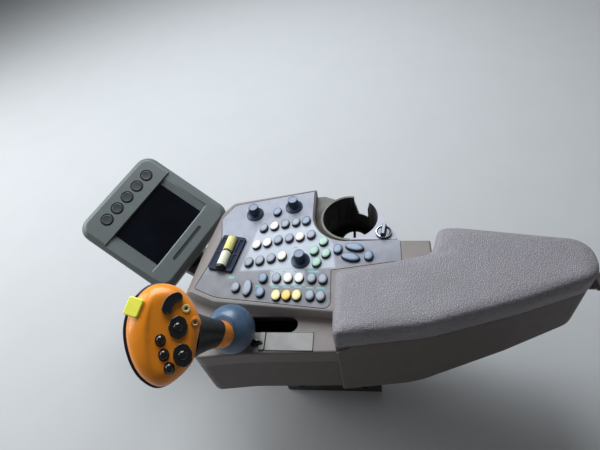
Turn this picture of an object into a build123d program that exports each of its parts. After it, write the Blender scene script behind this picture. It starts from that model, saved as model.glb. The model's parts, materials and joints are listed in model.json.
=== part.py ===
"""Right-hand control console of a combine harvester cab: display, drive lever, keypad, cup holder, armrest.

Lengths are in millimetres. The console is drawn from a datum on the keypad's top face: +X points forward
in the cab, +Y to the driver and +Z up. The last step moves every piece so that the origin is the middle of
the four bolt holes in the seat bracket.
"""
from build123d import *
from math import cos, radians, sin
import os

# Levels, measured from the keypad's top face
SHELF_Z = -20.0
HOUSING_BASE_Z = -45.0
SHELL_FLOOR_Z = -122.0
LID_SEAT_Z = 0.0
ARMREST_TOP_Z = 35.0

# Wall thicknesses and the gap between fixed mouldings
HOUSING_WALL = 3.5
HOUSING_ROOF = 6.0
SHELL_WALL = 3.5
BELLY_FROM_X, BELLY_TO_X, BELLY_RISE = -190.0, -450.0, 65.0
FIT_GAP = 0.3
SEAM_GAP = 0.7

# Rounding of the mouldings' top edges
TOP_ROUND = 3.0

# Housing outline seen from above, columns: x, y, corner radius
HOUSING_OUTLINE = [
    (78.0, 145.0, 16.0),
    (118.0, 54.0, 14.0),
    (104.0, -20.0, 60.0),
    (84.0, -74.0, 14.0),
    (64.0, -104.0, 14.0),
    (-66.0, -126.0, 2.0),
    (-66.0, -24.0, 49.0),
    (-226.0, -19.0, 2.0),
    (-226.0, 45.0, 0.0),
    (-118.0, 64.0, 0.0),
    (-118.0, 128.0, 0.0),
    (-105.0, 134.0, 0.0),
    (17.0, 138.0, 80.0),
]
# Edge between the keypad's level and the lower shelf, columns: x, y
SHELF_STEP = [(125.0, 38.0), (98.0, 58.0), (60.0, 74.5), (-130.0, 93.0), (-130.0, 170.0), (125.0, 170.0)]

# The front slopes down from the keypad's rim to a rounded nose and back under it; the profile lies square to
# the rim, columns: distance forward of the rim's edge, height, corner radius
FRONT_X, FRONT_Y = 88.0, 0.0
FRONT_TURN_DEG = -8.0
FRONT_PROFILE = [
    (-600.0, 0.0, 0.0),
    (0.0, 0.0, 14.0),
    (22.0, -28.0, 10.0),
    (-36.0, -132.0, 0.0),
    (-600.0, -132.0, 0.0),
]
FRONT_REACH = 400.0

# Keypad plate outline, columns: x, y, corner radius
KEYPAD_OUTLINE = [
    (91.5, 53.5, 4.0),
    (80.0, 19.0, 60.0),
    (69.0, -33.0, 40.0),
    (76.5, -70.0, 12.0),
    (61.0, -98.0, 12.0),
    (-63.0, -121.5, 2.0),
    (-63.0, -21.0, 51.0),
    (-186.0, -21.0, 2.0),
    (-186.0, 14.0, 2.0),
    (-93.5, 27.5, 2.0),
    (-94.5, 86.5, 9.0),
    (59.0, 68.0, 60.0),
]
KEYPAD_THICKNESS = 2.4

# Cup holder
CUP_X, CUP_Y = -118.0, -66.0
CUP_BORE_R = 39.7
CUP_WALL = 3.0
CUP_RIM_Z = -1.0
CUP_RIM_ROUND = 1.2
CUP_DEPTH = 74.0
CUP_FLOOR = 3.0
# The housing's bay curves round the ring
CUP_BAY_X, CUP_BAY_Y, CUP_BAY_R = -115.0, -71.5, 49.0
CUP_SLOT_FROM_DEG, CUP_SLOT_TO_DEG = -141.0, -82.0
CUP_SLOT_DEPTH = 48.0
# The floor's round opening, split by a bar
CUP_DRAIN_Y, CUP_DRAIN_R, CUP_DRAIN_BAR = -20.0, 14.5, 4.0
CUP_FLANGE_Z = -18.0
CUP_PLATE_T = 4.0
# Corner plate beside the ring, about the ring's centre, columns: x, y, corner radius
CUP_PLATE = [(-34.0, -24.5, 3.0), (-64.0, 38.0, 8.0), (-64.5, 44.3, 0.0), (0.0, 41.6, 0.0), (0.0, 30.0, 0.0)]
# Ledge that carries the ring in the housing's bay, columns: x, y, corner radius
CUP_BAY = [(-60.0, -126.0, 0.0), (-60.0, -20.0, 0.0), (-118.0, -20.0, 0.0), (-108.0, -106.0, 0.0)]

# Keys are ovals; columns of each table: x, y, turn in degrees
KEY_LENGTH = 16.0
KEY_WIDTH = 12.4
KEY_HEIGHT = 3.6
KEY_CHAMFER = 1.0
GREY_KEYS = [
    (7.8, -48.2, -14.0), (-23.7, -54.5, -14.0), (-39.4, -57.3, -14.0),
    (-16.4, -24.7, -14.0), (-32.3, -27.4, -14.0), (-63.5, -32.6, -14.0),
    (20.8, 13.5, -14.0), (5.6, 11.0, -14.0), (-10.1, 7.5, -14.0),
    (-21.4, 40.4, 0.0), (-68.9, 41.9, 0.0), (-83.7, 43.0, 0.0),
    (32.7, 54.2, 0.0), (-68.3, 67.9, 0.0), (-82.1, 69.2, 0.0),
]
WHITE_KEYS = [
    (-8.1, -51.0, -14.0), (13.9, -16.9, -14.0), (-1.3, -20.3, -14.0),
    (-47.6, -29.2, -14.0), (-25.3, 4.2, -14.0), (-37.3, 40.7, 0.0), (-52.2, 41.0, 0.0),
]
GREEN_KEYS = [(-81.9, -19.7, -20.0), (-69.7, -3.8, -20.0), (-85.9, 1.4, -20.0), (-73.9, 16.0, -20.0)]
BLUE_KEYS = [
    (-9.1, -79.3, -14.0), (-54.5, -59.3, -14.0), (-3.1, 40.1, 0.0),
    (-2.0, 62.3, 0.0), (-102.2, -5.3, -15.0), (-143.6, 7.0, -15.0),
]
YELLOW_KEYS = [(-24.1, 67.4, 0.0), (-37.6, 67.5, 0.0), (-51.0, 67.7, 0.0)]
# Long oval keys, columns: x, y, length, width, turn in degrees
LONG_KEYS = [(16.6, 55.2, 26.0, 13.0, 0.0), (-124.9, -8.0, 13.0, 26.0, -15.0), (-119.4, 8.8, 13.0, 26.0, -15.0)]

# Rotary knobs with flared skirts, columns: x, y
KNOBS = [(25.4, -77.7), (-33.3, -89.7), (-51.2, 11.1)]
KNOB_SKIRT_R = 13.0
KNOB_SKIRT_H = 3.5
KNOB_CAP_R = 7.6
KNOB_CAP_TOP_R = 6.4
KNOB_H = 15.0
SELECTOR_X, SELECTOR_Y = -164.5, -34.0
SELECTOR_R = 11.5
SELECTOR_SEAT_Z = -1.0

# Paddle switches: a frame along the keypad's front edge
PADDLE_X, PADDLE_Y = 56.0, -3.0
PADDLE_TURN_DEG = -12.0
PADDLE_FRAME_L, PADDLE_FRAME_W, PADDLE_FRAME_H = 60.0, 34.0, 4.0
PADDLE_R, PADDLE_L = 6.8, 22.0
PADDLE_AXLE_Z = 5.5
WELL_FLOOR_Z = 1.5

# Slot, ball boot and drive lever
SLOT_REAR_X, SLOT_FRONT_X = -52.0, 44.0
SLOT_Y = 97.0
SLOT_WIDTH = 23.0
LEVER_X = 26.0
BALL_Y, BALL_Z = 117.5, 6.0
BALL_R = 30.0
BOOT_GAP = 8.0
SHAFT_R = 4.5
SHAFT_FOOT_Y = 92.0
SHAFT_ROOT = 6.0
GRIP_X, GRIP_Y, GRIP_Z = 39.0, 192.0, 135.0
GRIP_NORMAL = Vector(-0.35, 0.42, 0.84)
GRIP_RIGHT = Vector(-0.90, -0.23, -0.26)
# Outline of the grip in its own frame, columns: x, y
GRIP_OUTLINE = [
    (-3.0, 47.0), (12.0, 42.5), (22.0, 32.0), (29.0, 19.0), (31.0, 7.0), (28.0, -8.0), (23.0, -26.0),
    (8.0, -40.0), (-7.0, -44.0), (-22.0, -33.0), (-31.0, -14.0), (-34.0, 8.0), (-29.0, 28.0), (-17.0, 42.5),
]
GRIP_FACE_DEPTH = 19.0
GRIP_CROWN_X, GRIP_CROWN_R = -4.0, 75.0
# The soft ridge between palm and keys is an arc through these points, columns: x, y
GRIP_RIDGE = [(-2.0, 54.0), (-13.0, -2.0), (-2.0, -58.0)]
GRIP_KEY_Z = 15.0
GRIP_KEY_SLOPE_DEG = 7.0
GRIP_BACK_DEPTH = 22.0
GRIP_BACK_MOUTH, GRIP_BACK_HEEL = 1.03, 0.68
# The rear shell shows beside the face on the palm's side
GRIP_BACK_SHIFT = -2.4
GRIP_MIDDLE = (-2.0, 1.0)
# Controls on the key face, columns: x, y
GRIP_PADS = [(12.0, 5.5), (15.5, -19.0)]
GRIP_PAD_L, GRIP_PAD_W, GRIP_PAD_H = 17.0, 14.0, 2.6
GRIP_BUTTONS = [(-3.2, -4.6), (-0.5, -17.3), (4.0, -29.0)]
GRIP_BUTTON_R, GRIP_BUTTON_H = 4.0, 2.2
GRIP_LAMPS = [(19.5, 21.5), (26.5, 9.0)]
GRIP_LAMP_R, GRIP_LAMP_H = 3.4, 1.2
ROCKER_X, ROCKER_Y, ROCKER_TURN_DEG = 7.0, 27.5, 48.0
ROCKER_L, ROCKER_W, ROCKER_H = 20.0, 9.5, 3.2
STOP_X, STOP_Y, STOP_TURN_DEG = -26.8, 27.5, -26.0
STOP_W, STOP_L, STOP_CORNER_R = 12.5, 16.5, 2.5
STOP_TOP_Z = 14.0
GRIP_NECK_W, GRIP_NECK_H = 17.0, 23.0
COLLAR_R, COLLAR_L = 16.0, 17.0
# The neck's foot sits to the driver's side of the ball's centre
NECK_FOOT_Y, NECK_FOOT_Z = 5.0, -4.0
CARRIAGE_L, CARRIAGE_W, CARRIAGE_H = 32.0, 48.0, 14.0
CARRIAGE_TOP_Z = -28.0
ROD_R = 4.0
ROD_PITCH = 34.0
ROD_CLEARANCE = 0.08
GUIDE_HALF_L = 62.0
GUIDE_X = -4.0

# Card plate and lock lever on the shelf
CARD_REAR_X, CARD_FRONT_X, CARD_FAR_Y, CARD_NEAR_Y = -73.0, -13.0, 109.0, 133.0
CARD_STRIP_W = 7.0
CARD_T = 1.4
LOCK_X, LOCK_Y, LOCK_R = 1.0, 123.5, 5.0
LOCK_H = 2.4
LOCK_WING_T = 1.4

# Armrest outline seen from above, columns: x, y, corner radius
ARMREST_REAR_X = -404.0
ARMREST_OUTLINE = [
    (-101.0, 141.0, 5.0),
    (-101.0, 52.0, 5.0),
    (-221.0, 26.5, 14.0),
    (-232.0, -14.0, 14.0),
    (-262.0, -13.0, 30.0),
    (ARMREST_REAR_X, 12.0, 30.0),
    (ARMREST_REAR_X, 64.0, 30.0),
    (-312.0, 97.0, 60.0),
    (-209.0, 127.0, 120.0),
]
ARMREST_BASE_INSET = 1.5
BIN_WALL = 5.0
BIN_FLOOR_Z = -40.0
LID_T = 4.0
PAD_GAP = 0.3
HINGE_X, HINGE_Y, HINGE_Z = ARMREST_REAR_X - 7.0, 38.0, LID_SEAT_Z - 2.0
HINGE_BARREL_R = 5.0
HINGE_PIN_R = 2.5
HINGE_KNUCKLE_L = 14.0
HINGE_GAP = 0.5
HINGE_WEB_T = 3.6
HINGE_WEB_LAP = 4.0
FINGER_DEPTH = 3.5
FINGER_DROP = 16.0
FINGER_LENGTH = 22.0

# Seat bracket and its four bolt holes
BRACKET_X, BRACKET_Y, BRACKET_Z = -80.0, 100.0, -190.0
BRACKET_T = 6.0
BRACKET_FOOT_X, BRACKET_FOOT_Y = 170.0, 120.0
BRACKET_PLATE_X = 150.0
BRACKET_LOW_Z = -232.0
BOLT_SPACING_X, BOLT_SPACING_Z = 100.0, 50.0
BOLT_HOLE_R = 5.5

# Display: its front face's centre and how it leans
DISPLAY_AT = Vector(183.8, -73.6, -4.6)
SWIVEL_LEAN_DEG = 20.0
SWIVEL_YAW_DEG = -122.8
DISPLAY_TILT_DEG = 45.8
CASE_W, CASE_H, CASE_T = 162.0, 174.0, 20.0
CASE_CENTRE_X, CASE_CENTRE_Y = 1.0, 7.0
CASE_CORNER_R = 22.0
SCREEN_W, SCREEN_H = 108.0, 80.0
SCREEN_RECESS = 2.8
SCREEN_T = 2.0
SCREEN_BACK_Z = -6.5
CASE_EDGE_R = 4.0
STRIP_Y, BEVEL_Y, STRIP_STEP = 41.0, -43.0, 2.4
LEDGE_COUNT, LEDGE_W = 4, 3.0
BACK_RIM_INSET, BACK_CORNER_R = 8.0, 15.0
BACK_W, BACK_H, BACK_T = 126.0, 132.0, 18.0
DISPLAY_KEY_Y = 65.0
DISPLAY_KEY_X = (-42.0, -18.7, 4.6, 27.9, 51.2)
DISPLAY_KEY_R = 8.5
DISPLAY_KEY_SINK = 1.5
DISPLAY_KEY_RISE = 1.6
KEY_RING = 1.0
TILT_OFFSET = 50.0
KNUCKLE_R = 9.0
KNUCKLE_L = 34.0
TILT_PIN_R = 4.0
EAR_T = 8.0
EAR_GAP = 0.5
YOKE_BASE_DOWN = 44.0
YOKE_BASE_T = 8.0
YOKE_R = 24.0
STUB_R = 9.0
STUB_L = 26.0
RUNNING_GAP = 0.06
POST_R, POST_L = 20.0, 70.0
ARM_T = 12.0
ARM_W = 56.0
ARM_ROOT_X, ARM_ROOT_Y = 36.0, -20.0


def outline(table):
    """A flat face with rounded corners from rows of x, y and corner radius."""
    points = [(x, y) for x, y, radius in table]
    radii = [radius for x, y, radius in table]
    return make_face(FilletPolyline(*points, radius=radii, close=True))


def slab(face, low, high):
    """A face at z = 0 made solid between two levels."""
    return Pos(0, 0, low) * extrude(face, high - low)


def inset(face, amount):
    """The same outline moved inwards all round."""
    return offset(face, -amount, kind=Kind.INTERSECTION)


def axis_plane(origin, x_dir, z_dir):
    """A drawing plane with its x and z directions made square and of unit length."""
    z_unit = Vector(z_dir).normalized()
    x_flat = Vector(x_dir) - z_unit * Vector(x_dir).dot(z_unit)
    return Plane(origin=origin, x_dir=x_flat.normalized(), z_dir=z_unit)


def tube_between(start, end, radius):
    """A round bar from one point to another."""
    run = end - start
    return Plane(origin=start, z_dir=run.normalized()) * extrude(Circle(radius), run.length)


def ball_centre():
    return Vector(LEVER_X, BALL_Y, BALL_Z)


def grip_centre():
    return Vector(GRIP_X, GRIP_Y, GRIP_Z)


def grip_plane():
    return axis_plane(grip_centre(), GRIP_RIGHT, GRIP_NORMAL)


def swivel_axis():
    return Vector(sin(radians(SWIVEL_LEAN_DEG)), 0, cos(radians(SWIVEL_LEAN_DEG)))


def display_right():
    level = Vector(cos(radians(SWIVEL_LEAN_DEG)), 0, -sin(radians(SWIVEL_LEAN_DEG)))
    return level * cos(radians(SWIVEL_YAW_DEG)) + Vector(0, 1, 0) * sin(radians(SWIVEL_YAW_DEG))


def display_plane():
    """x to the screen's right, y to its top, z out of its glass."""
    ahead = swivel_axis().cross(display_right())
    top = swivel_axis() * cos(radians(DISPLAY_TILT_DEG)) + ahead * sin(radians(DISPLAY_TILT_DEG))
    return axis_plane(DISPLAY_AT, display_right(), display_right().cross(top))


def tilt_centre():
    return DISPLAY_AT - display_plane().z_dir * TILT_OFFSET


def yoke_plane():
    """x along the tilt pin, z along the swivel axis."""
    return axis_plane(tilt_centre(), display_right(), swivel_axis())


def round_top(body, radius):
    """Rounds the edges of a form's top face."""
    return fillet(body.faces().sort_by(Axis.Z)[-1].edges(), radius)


def front_form(back):
    """Everything behind the sloping front, or behind a parallel front further back."""
    profile = outline(FRONT_PROFILE)
    place = Pos(FRONT_X, FRONT_Y, 0) * Rot(0, 0, FRONT_TURN_DEG) * Pos(-back, 0, 0)
    return place * extrude(Plane.XZ * profile, FRONT_REACH, both=True)


def shelf_step_face():
    return make_face(Polyline(*SHELF_STEP, close=True))


def make_top_housing():
    face = outline(HOUSING_OUTLINE)
    upper_face = face - shelf_step_face()
    low = round_top(slab(face, HOUSING_BASE_Z, SHELF_Z), TOP_ROUND)
    high = round_top(slab(upper_face, HOUSING_BASE_Z, 0.0), TOP_ROUND)
    body = (low + high) & front_form(0.0)
    room = slab(inset(face, HOUSING_WALL), HOUSING_BASE_Z - 1, SHELF_Z - HOUSING_WALL)
    room += slab(inset(upper_face, HOUSING_WALL), HOUSING_BASE_Z - 1, -HOUSING_ROOF)
    body -= room & front_form(HOUSING_ROOF)
    body -= slab(offset(keypad_face(), SEAM_GAP, kind=Kind.INTERSECTION), -KEYPAD_THICKNESS, 5)
    body -= slab(slot_face(), SHELF_Z - 10, SHELF_Z + 10)
    return body - slab(offset(armrest_base_face(), FIT_GAP), HOUSING_BASE_Z - 1, 5)


def keypad_face():
    return outline(KEYPAD_OUTLINE)


def slot_face():
    middle = (SLOT_REAR_X + SLOT_FRONT_X) / 2
    return Pos(middle, SLOT_Y) * SlotOverall(SLOT_FRONT_X - SLOT_REAR_X, SLOT_WIDTH)


def make_keypad_plate():
    return slab(keypad_face(), -KEYPAD_THICKNESS, 0.0)


def key(x, y, turn, length=KEY_LENGTH, width=KEY_WIDTH):
    """One oval key with a chamfered top, standing on the keypad."""
    oval = RectangleRounded(width, length, min(width, length) / 2 - 0.2)
    body = extrude(oval, KEY_HEIGHT)
    body = chamfer(body.faces().sort_by(Axis.Z)[-1].edges(), KEY_CHAMFER)
    return Pos(x, y) * Rot(0, 0, turn) * body


def keys(table):
    return Compound([key(x, y, turn) for x, y, turn in table])


def make_long_keys():
    return Compound([key(x, y, turn, length, width) for x, y, length, width, turn in LONG_KEYS])


def knob(x, y):
    """A rotary knob: flared skirt, tapered cap."""
    half = make_face(Polyline(
        (0, 0), (KNOB_SKIRT_R, 0), (KNOB_SKIRT_R - 1.0, KNOB_SKIRT_H * 0.5), (KNOB_CAP_R + 1.5, KNOB_SKIRT_H),
        (KNOB_CAP_R, KNOB_SKIRT_H + 1.0), (KNOB_CAP_TOP_R, KNOB_H), (0, KNOB_H), close=True))
    return Pos(x, y) * revolve(Plane.XZ * half, Axis.Z)


def make_knobs():
    return Compound([knob(x, y) for x, y in KNOBS])


def make_selector_knob():
    """A flat ring with a raised finger blade across it."""
    disc = extrude(Circle(SELECTOR_R), 5.0)
    blade = Pos(0, 0, 5.0) * extrude(SlotOverall(SELECTOR_R * 1.7, 5.0), 7.0)
    return Pos(SELECTOR_X, SELECTOR_Y, SELECTOR_SEAT_Z) * Rot(0, 0, 80) * (disc + blade)


def paddle_place():
    return Pos(PADDLE_X, PADDLE_Y) * Rot(0, 0, PADDLE_TURN_DEG)


def make_paddle_frame():
    """A black frame with two wells for the paddles."""
    frame = extrude(RectangleRounded(PADDLE_FRAME_W, PADDLE_FRAME_L, 3.0), PADDLE_FRAME_H)
    for side in (-1, 1):
        frame -= Pos(0, side * (PADDLE_L / 2 + 1.0), WELL_FLOOR_Z) * Box(
            PADDLE_FRAME_W - 9, PADDLE_L + 1.0, PADDLE_FRAME_H, align=(Align.CENTER, Align.CENTER, Align.MIN))
    return paddle_place() * frame


def paddle(side):
    """A roller-shaped paddle lying along the frame."""
    bar = Pos(0, 0, PADDLE_AXLE_Z) * Rot(90, 0, 0) * Cylinder(PADDLE_R, PADDLE_L - 1.0)
    bar &= Pos(0, 0, WELL_FLOOR_Z + FIT_GAP) * Box(
        4 * PADDLE_R, PADDLE_L, 4 * PADDLE_R, align=(Align.CENTER, Align.CENTER, Align.MIN))
    return paddle_place() * Pos(0, side * (PADDLE_L / 2 + 1.0), 0) * bar


def make_cup_holder():
    """An open ring with a mug-handle slot, a floor with two openings and a flat corner plate."""
    outer_r = CUP_BORE_R + CUP_WALL
    ring = slab(Circle(outer_r), -CUP_DEPTH, CUP_RIM_Z)
    ring = round_top(ring, CUP_RIM_ROUND)
    ring -= slab(Circle(CUP_BORE_R), -CUP_DEPTH + CUP_FLOOR, 5.0)
    slot_sector = sector(CUP_SLOT_FROM_DEG, CUP_SLOT_TO_DEG, outer_r * 1.6)
    ring -= slab(slot_sector, -CUP_SLOT_DEPTH, 5.0)
    drain = Pos(0, CUP_DRAIN_Y) * (Circle(CUP_DRAIN_R) - Rectangle(CUP_DRAIN_BAR, 3 * CUP_DRAIN_R))
    ring -= slab(drain, -CUP_DEPTH - 1, -CUP_DEPTH + CUP_FLOOR + 1)
    plate = outline(CUP_PLATE)
    ring += slab(plate, CUP_RIM_Z - CUP_PLATE_T, CUP_RIM_Z) - slab(Circle(CUP_BORE_R), -CUP_DEPTH, 5)
    holder = Pos(CUP_X, CUP_Y) * ring
    bay = outline(CUP_BAY)
    bay &= Pos(CUP_BAY_X, CUP_BAY_Y) * Circle(CUP_BAY_R - FIT_GAP)
    flange = slab(bay, CUP_FLANGE_Z, CUP_FLANGE_Z + CUP_WALL)
    flange -= slab(Pos(CUP_X, CUP_Y) * Circle(CUP_BORE_R), -CUP_DEPTH, 5)
    return holder + flange


def sector(from_deg, to_deg, radius):
    """A wedge-shaped face about the origin."""
    tips = [(0, 0)]
    steps = 4
    for i in range(steps + 1):
        angle = radians(from_deg + (to_deg - from_deg) * i / steps)
        tips.append((radius * cos(angle), radius * sin(angle)))
    return make_face(Polyline(*tips, close=True))


def make_card_plate():
    """A thin bare plate with a raised strip at its front end."""
    width = CARD_NEAR_Y - CARD_FAR_Y
    middle_y = (CARD_NEAR_Y + CARD_FAR_Y) / 2
    plate = Pos((CARD_REAR_X + CARD_FRONT_X) / 2, middle_y, SHELF_Z) * Box(
        CARD_FRONT_X - CARD_REAR_X, width, CARD_T, align=(Align.CENTER, Align.CENTER, Align.MIN))
    strip = Pos(CARD_FRONT_X + CARD_STRIP_W / 2 + 0.2, middle_y, SHELF_Z) * Box(
        CARD_STRIP_W, width, CARD_T + 0.8, align=(Align.CENTER, Align.CENTER, Align.MIN))
    return Compound([plate, strip])


def make_lock_lever():
    post = Pos(LOCK_X, LOCK_Y, SHELF_Z) * extrude(Circle(LOCK_R), LOCK_H)
    wing = Pos(LOCK_X - 4.0, LOCK_Y, SHELF_Z + LOCK_H) * extrude(SlotOverall(14.0, 5.0), LOCK_WING_T)
    return post + wing


def shell_face(wall):
    """The tub's outline, or its room inside a wall."""
    front = outline(HOUSING_OUTLINE)
    rear = armrest_base_face()
    if wall > 0:
        front = inset(front, wall)
        rear = inset(rear, wall)
    return front + rear


def make_lower_shell():
    """The tub under the housing and the armrest, its belly rising to the rear."""
    tub = slab(shell_face(0.0), SHELL_FLOOR_Z, HOUSING_BASE_Z)
    room = slab(shell_face(SHELL_WALL), SHELL_FLOOR_Z + SHELL_WALL, HOUSING_BASE_Z + 1)
    belly = make_face(Polyline((BELLY_FROM_X, SHELL_FLOOR_Z), (BELLY_TO_X, SHELL_FLOOR_Z + BELLY_RISE),
                               (BELLY_TO_X, 2 * SHELL_FLOOR_Z), (BELLY_FROM_X, 2 * SHELL_FLOOR_Z), close=True))
    belly_cut = extrude(Plane.XZ * belly, FRONT_REACH, both=True)
    belly_skin = Pos(0, 0, SHELL_WALL) * belly_cut
    tub = (tub - belly_cut) & front_form(0.0)
    return tub - ((room - belly_skin) & front_form(HOUSING_ROOF))


def armrest_base_face():
    return inset(outline(ARMREST_OUTLINE), ARMREST_BASE_INSET)


def make_armrest_base():
    """Storage bin under the armrest, open at the top, with a scoop for the fingers at its near corner."""
    face = armrest_base_face()
    body = slab(face, HOUSING_BASE_Z, LID_SEAT_Z - HINGE_GAP)
    body -= slab(inset(face, BIN_WALL), BIN_FLOOR_Z, LID_SEAT_Z + 5)
    front_x, front_y, corner = ARMREST_OUTLINE[0]
    scoop = make_face(Polyline((1, 1), (1, -FINGER_DROP), (-FINGER_LENGTH, 1), close=True))
    scoop_y = front_y - ARMREST_BASE_INSET - FINGER_DEPTH
    body -= Pos(front_x, scoop_y, LID_SEAT_Z) * extrude(Plane.XZ * scoop, -2 * BIN_WALL)
    for side in (-1, 1):
        body += hinge_knuckle(side * (HINGE_KNUCKLE_L + HINGE_GAP), 1)
    return body


def hinge_knuckle(offset_y, leaf):
    """One barrel of the lid hinge with the web that joins it to its part."""
    barrel = Rot(90, 0, 0) * Cylinder(HINGE_BARREL_R, HINGE_KNUCKLE_L)
    reach = ARMREST_REAR_X + ARMREST_BASE_INSET + HINGE_WEB_LAP - HINGE_X
    if leaf == 1:
        level = LID_SEAT_Z - HINGE_Z - HINGE_GAP - HINGE_WEB_T / 2
    else:
        level = LID_SEAT_Z - HINGE_Z + HINGE_WEB_T / 2
    web = Pos(reach / 2, 0, level) * Box(reach, HINGE_KNUCKLE_L, HINGE_WEB_T)
    bore = Rot(90, 0, 0) * Cylinder(HINGE_PIN_R + RUNNING_GAP, HINGE_KNUCKLE_L + 2)
    return Pos(HINGE_X, HINGE_Y + offset_y, HINGE_Z) * (barrel + web - bore)


def make_hinge_pin():
    return Pos(HINGE_X, HINGE_Y, HINGE_Z) * Rot(90, 0, 0) * Cylinder(HINGE_PIN_R, 3 * HINGE_KNUCKLE_L + 4)


def make_lid_plate():
    body = slab(armrest_base_face(), LID_SEAT_Z, LID_SEAT_Z + LID_T)
    return body + hinge_knuckle(0.0, 2)


def make_armrest_pad():
    body = slab(outline(ARMREST_OUTLINE), LID_SEAT_Z + LID_T + PAD_GAP, ARMREST_TOP_Z)
    return fillet(body.faces().sort_by(Axis.Z)[-1].edges(), 7.0)


def make_lever_guide():
    """Two guide rods between end brackets fixed under the shelf."""
    rod_z = CARRIAGE_TOP_Z - CARRIAGE_H / 2
    body = None
    for end in (-1, 1):
        bracket = Pos(GUIDE_X + end * GUIDE_HALF_L, SLOT_Y, SHELF_Z - HOUSING_WALL) * Box(
            6.0, CARRIAGE_W + 4, 24.0, align=(Align.CENTER, Align.CENTER, Align.MAX))
        body = bracket if body is None else body + bracket
    for side in (-1, 1):
        body += Pos(GUIDE_X, SLOT_Y + side * ROD_PITCH / 2, rod_z) * Rot(0, 90, 0) * Cylinder(ROD_R, 2 * GUIDE_HALF_L)
    return body


def make_lever_carriage():
    rod_z = CARRIAGE_TOP_Z - CARRIAGE_H / 2
    block = Pos(LEVER_X, SLOT_Y, rod_z) * Box(CARRIAGE_L, CARRIAGE_W, CARRIAGE_H)
    for side in (-1, 1):
        block -= Pos(LEVER_X, SLOT_Y + side * ROD_PITCH / 2, rod_z) * Rot(0, 90, 0) * Cylinder(
            ROD_R + ROD_CLEARANCE, CARRIAGE_L + 2)
    return block - make_lever_shaft()


def make_lever_shaft():
    """A bar that leans from the carriage through the slot and the boot into the grip's neck."""
    foot = Vector(LEVER_X, SHAFT_FOOT_Y, CARRIAGE_TOP_Z)
    low = foot - (ball_centre() - foot).normalized() * SHAFT_ROOT
    lower = tube_between(low, ball_centre(), SHAFT_R)
    upper = tube_between(ball_centre(), neck_end(), SHAFT_R)
    return lower + Pos(ball_centre()) * Sphere(SHAFT_R) + upper


def make_lever_boot():
    ball = Pos(ball_centre()) * Sphere(BALL_R)
    keep_from = SHELF_Z + BOOT_GAP
    ball &= Pos(LEVER_X, BALL_Y, keep_from) * Box(3 * BALL_R, 3 * BALL_R, 3 * BALL_R,
                                                align=(Align.CENTER, Align.CENTER, Align.MIN))
    return ball - make_lever_shaft()


def neck_end():
    """Where the neck meets the back of the grip."""
    frame = grip_plane()
    return grip_centre() + frame.x_dir * 8.0 - frame.z_dir * GRIP_BACK_DEPTH


def neck_foot():
    return ball_centre() + Vector(0, NECK_FOOT_Y, NECK_FOOT_Z)


def neck_direction():
    return (neck_end() - neck_foot()).normalized()


def make_lever_collar():
    start = neck_foot() + neck_direction() * (BALL_R - 4.0)
    end = neck_foot() + neck_direction() * (BALL_R + COLLAR_L)
    return tube_between(start, end, COLLAR_R) - make_lever_shaft() - make_lever_boot()


def make_grip_back():
    """Charcoal rear shell with the neck that tapers to the shaft."""
    frame = grip_plane()
    heel = Pos(0, 0, -GRIP_BACK_DEPTH) * grip_outline(GRIP_BACK_HEEL)
    shell = frame * loft([heel, Pos(GRIP_BACK_SHIFT, 0, 0) * grip_outline(GRIP_BACK_MOUTH)])
    low = neck_foot() + neck_direction() * (BALL_R + COLLAR_L + FIT_GAP)
    neck_low = Plane(origin=low, x_dir=frame.x_dir - neck_direction() * frame.x_dir.dot(neck_direction()),
                     z_dir=neck_direction()) * Circle(COLLAR_R + 0.5)
    neck_high = frame * Pos(8.0, 0, -GRIP_BACK_DEPTH + 2.0) * Ellipse(GRIP_NECK_W, GRIP_NECK_H)
    neck = loft([neck_low, neck_high])
    return shell + neck - make_lever_shaft()


def grip_outline(scale):
    """The grip's egg-shaped outline in its own frame, larger or smaller about its middle."""
    middle_x, middle_y = GRIP_MIDDLE
    points = [(middle_x + (x - middle_x) * scale, middle_y + (y - middle_y) * scale) for x, y in GRIP_OUTLINE]
    return make_face(Spline(*points, periodic=True))


def key_level(x, y, turn=0.0):
    """A place on the sloping key face, in the grip's own frame."""
    return Pos(0, 0, GRIP_KEY_Z) * Rot(0, GRIP_KEY_SLOPE_DEG, 0) * Pos(x, y, 0) * Rot(0, 0, turn)


def make_grip_face():
    """Orange cover, crowned over the palm and set back where the keys are."""
    body = extrude(grip_outline(1.0), GRIP_FACE_DEPTH)
    body &= Pos(GRIP_CROWN_X, 0, GRIP_FACE_DEPTH - GRIP_CROWN_R) * Sphere(GRIP_CROWN_R)
    ridge = ThreePointArc(*GRIP_RIDGE)
    far_side = Polyline(GRIP_RIDGE[2], (2 * GRIP_CROWN_R, GRIP_RIDGE[2][1]), (2 * GRIP_CROWN_R, GRIP_RIDGE[0][1]),
                        GRIP_RIDGE[0])
    key_area = slab(make_face([ridge, far_side]), -GRIP_CROWN_R, GRIP_CROWN_R)
    above = key_level(0, 0) * Box(4 * GRIP_CROWN_R, 4 * GRIP_CROWN_R, GRIP_CROWN_R,
                                  align=(Align.CENTER, Align.CENTER, Align.MIN))
    return grip_plane() * (body - (key_area & above))


def domed(face, height, edge):
    """A flat-topped form with a bevelled rim, standing at z = 0."""
    body = extrude(face, height)
    return chamfer(body.faces().sort_by(Axis.Z)[-1].edges(), edge)


def make_grip_pads():
    oval = Ellipse(GRIP_PAD_W / 2, GRIP_PAD_L / 2)
    return Compound([grip_plane() * key_level(x, y) * domed(oval, GRIP_PAD_H, 0.8) for x, y in GRIP_PADS])


def make_grip_buttons():
    disc = Circle(GRIP_BUTTON_R)
    return Compound([grip_plane() * key_level(x, y) * domed(disc, GRIP_BUTTON_H, 0.8) for x, y in GRIP_BUTTONS])


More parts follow.
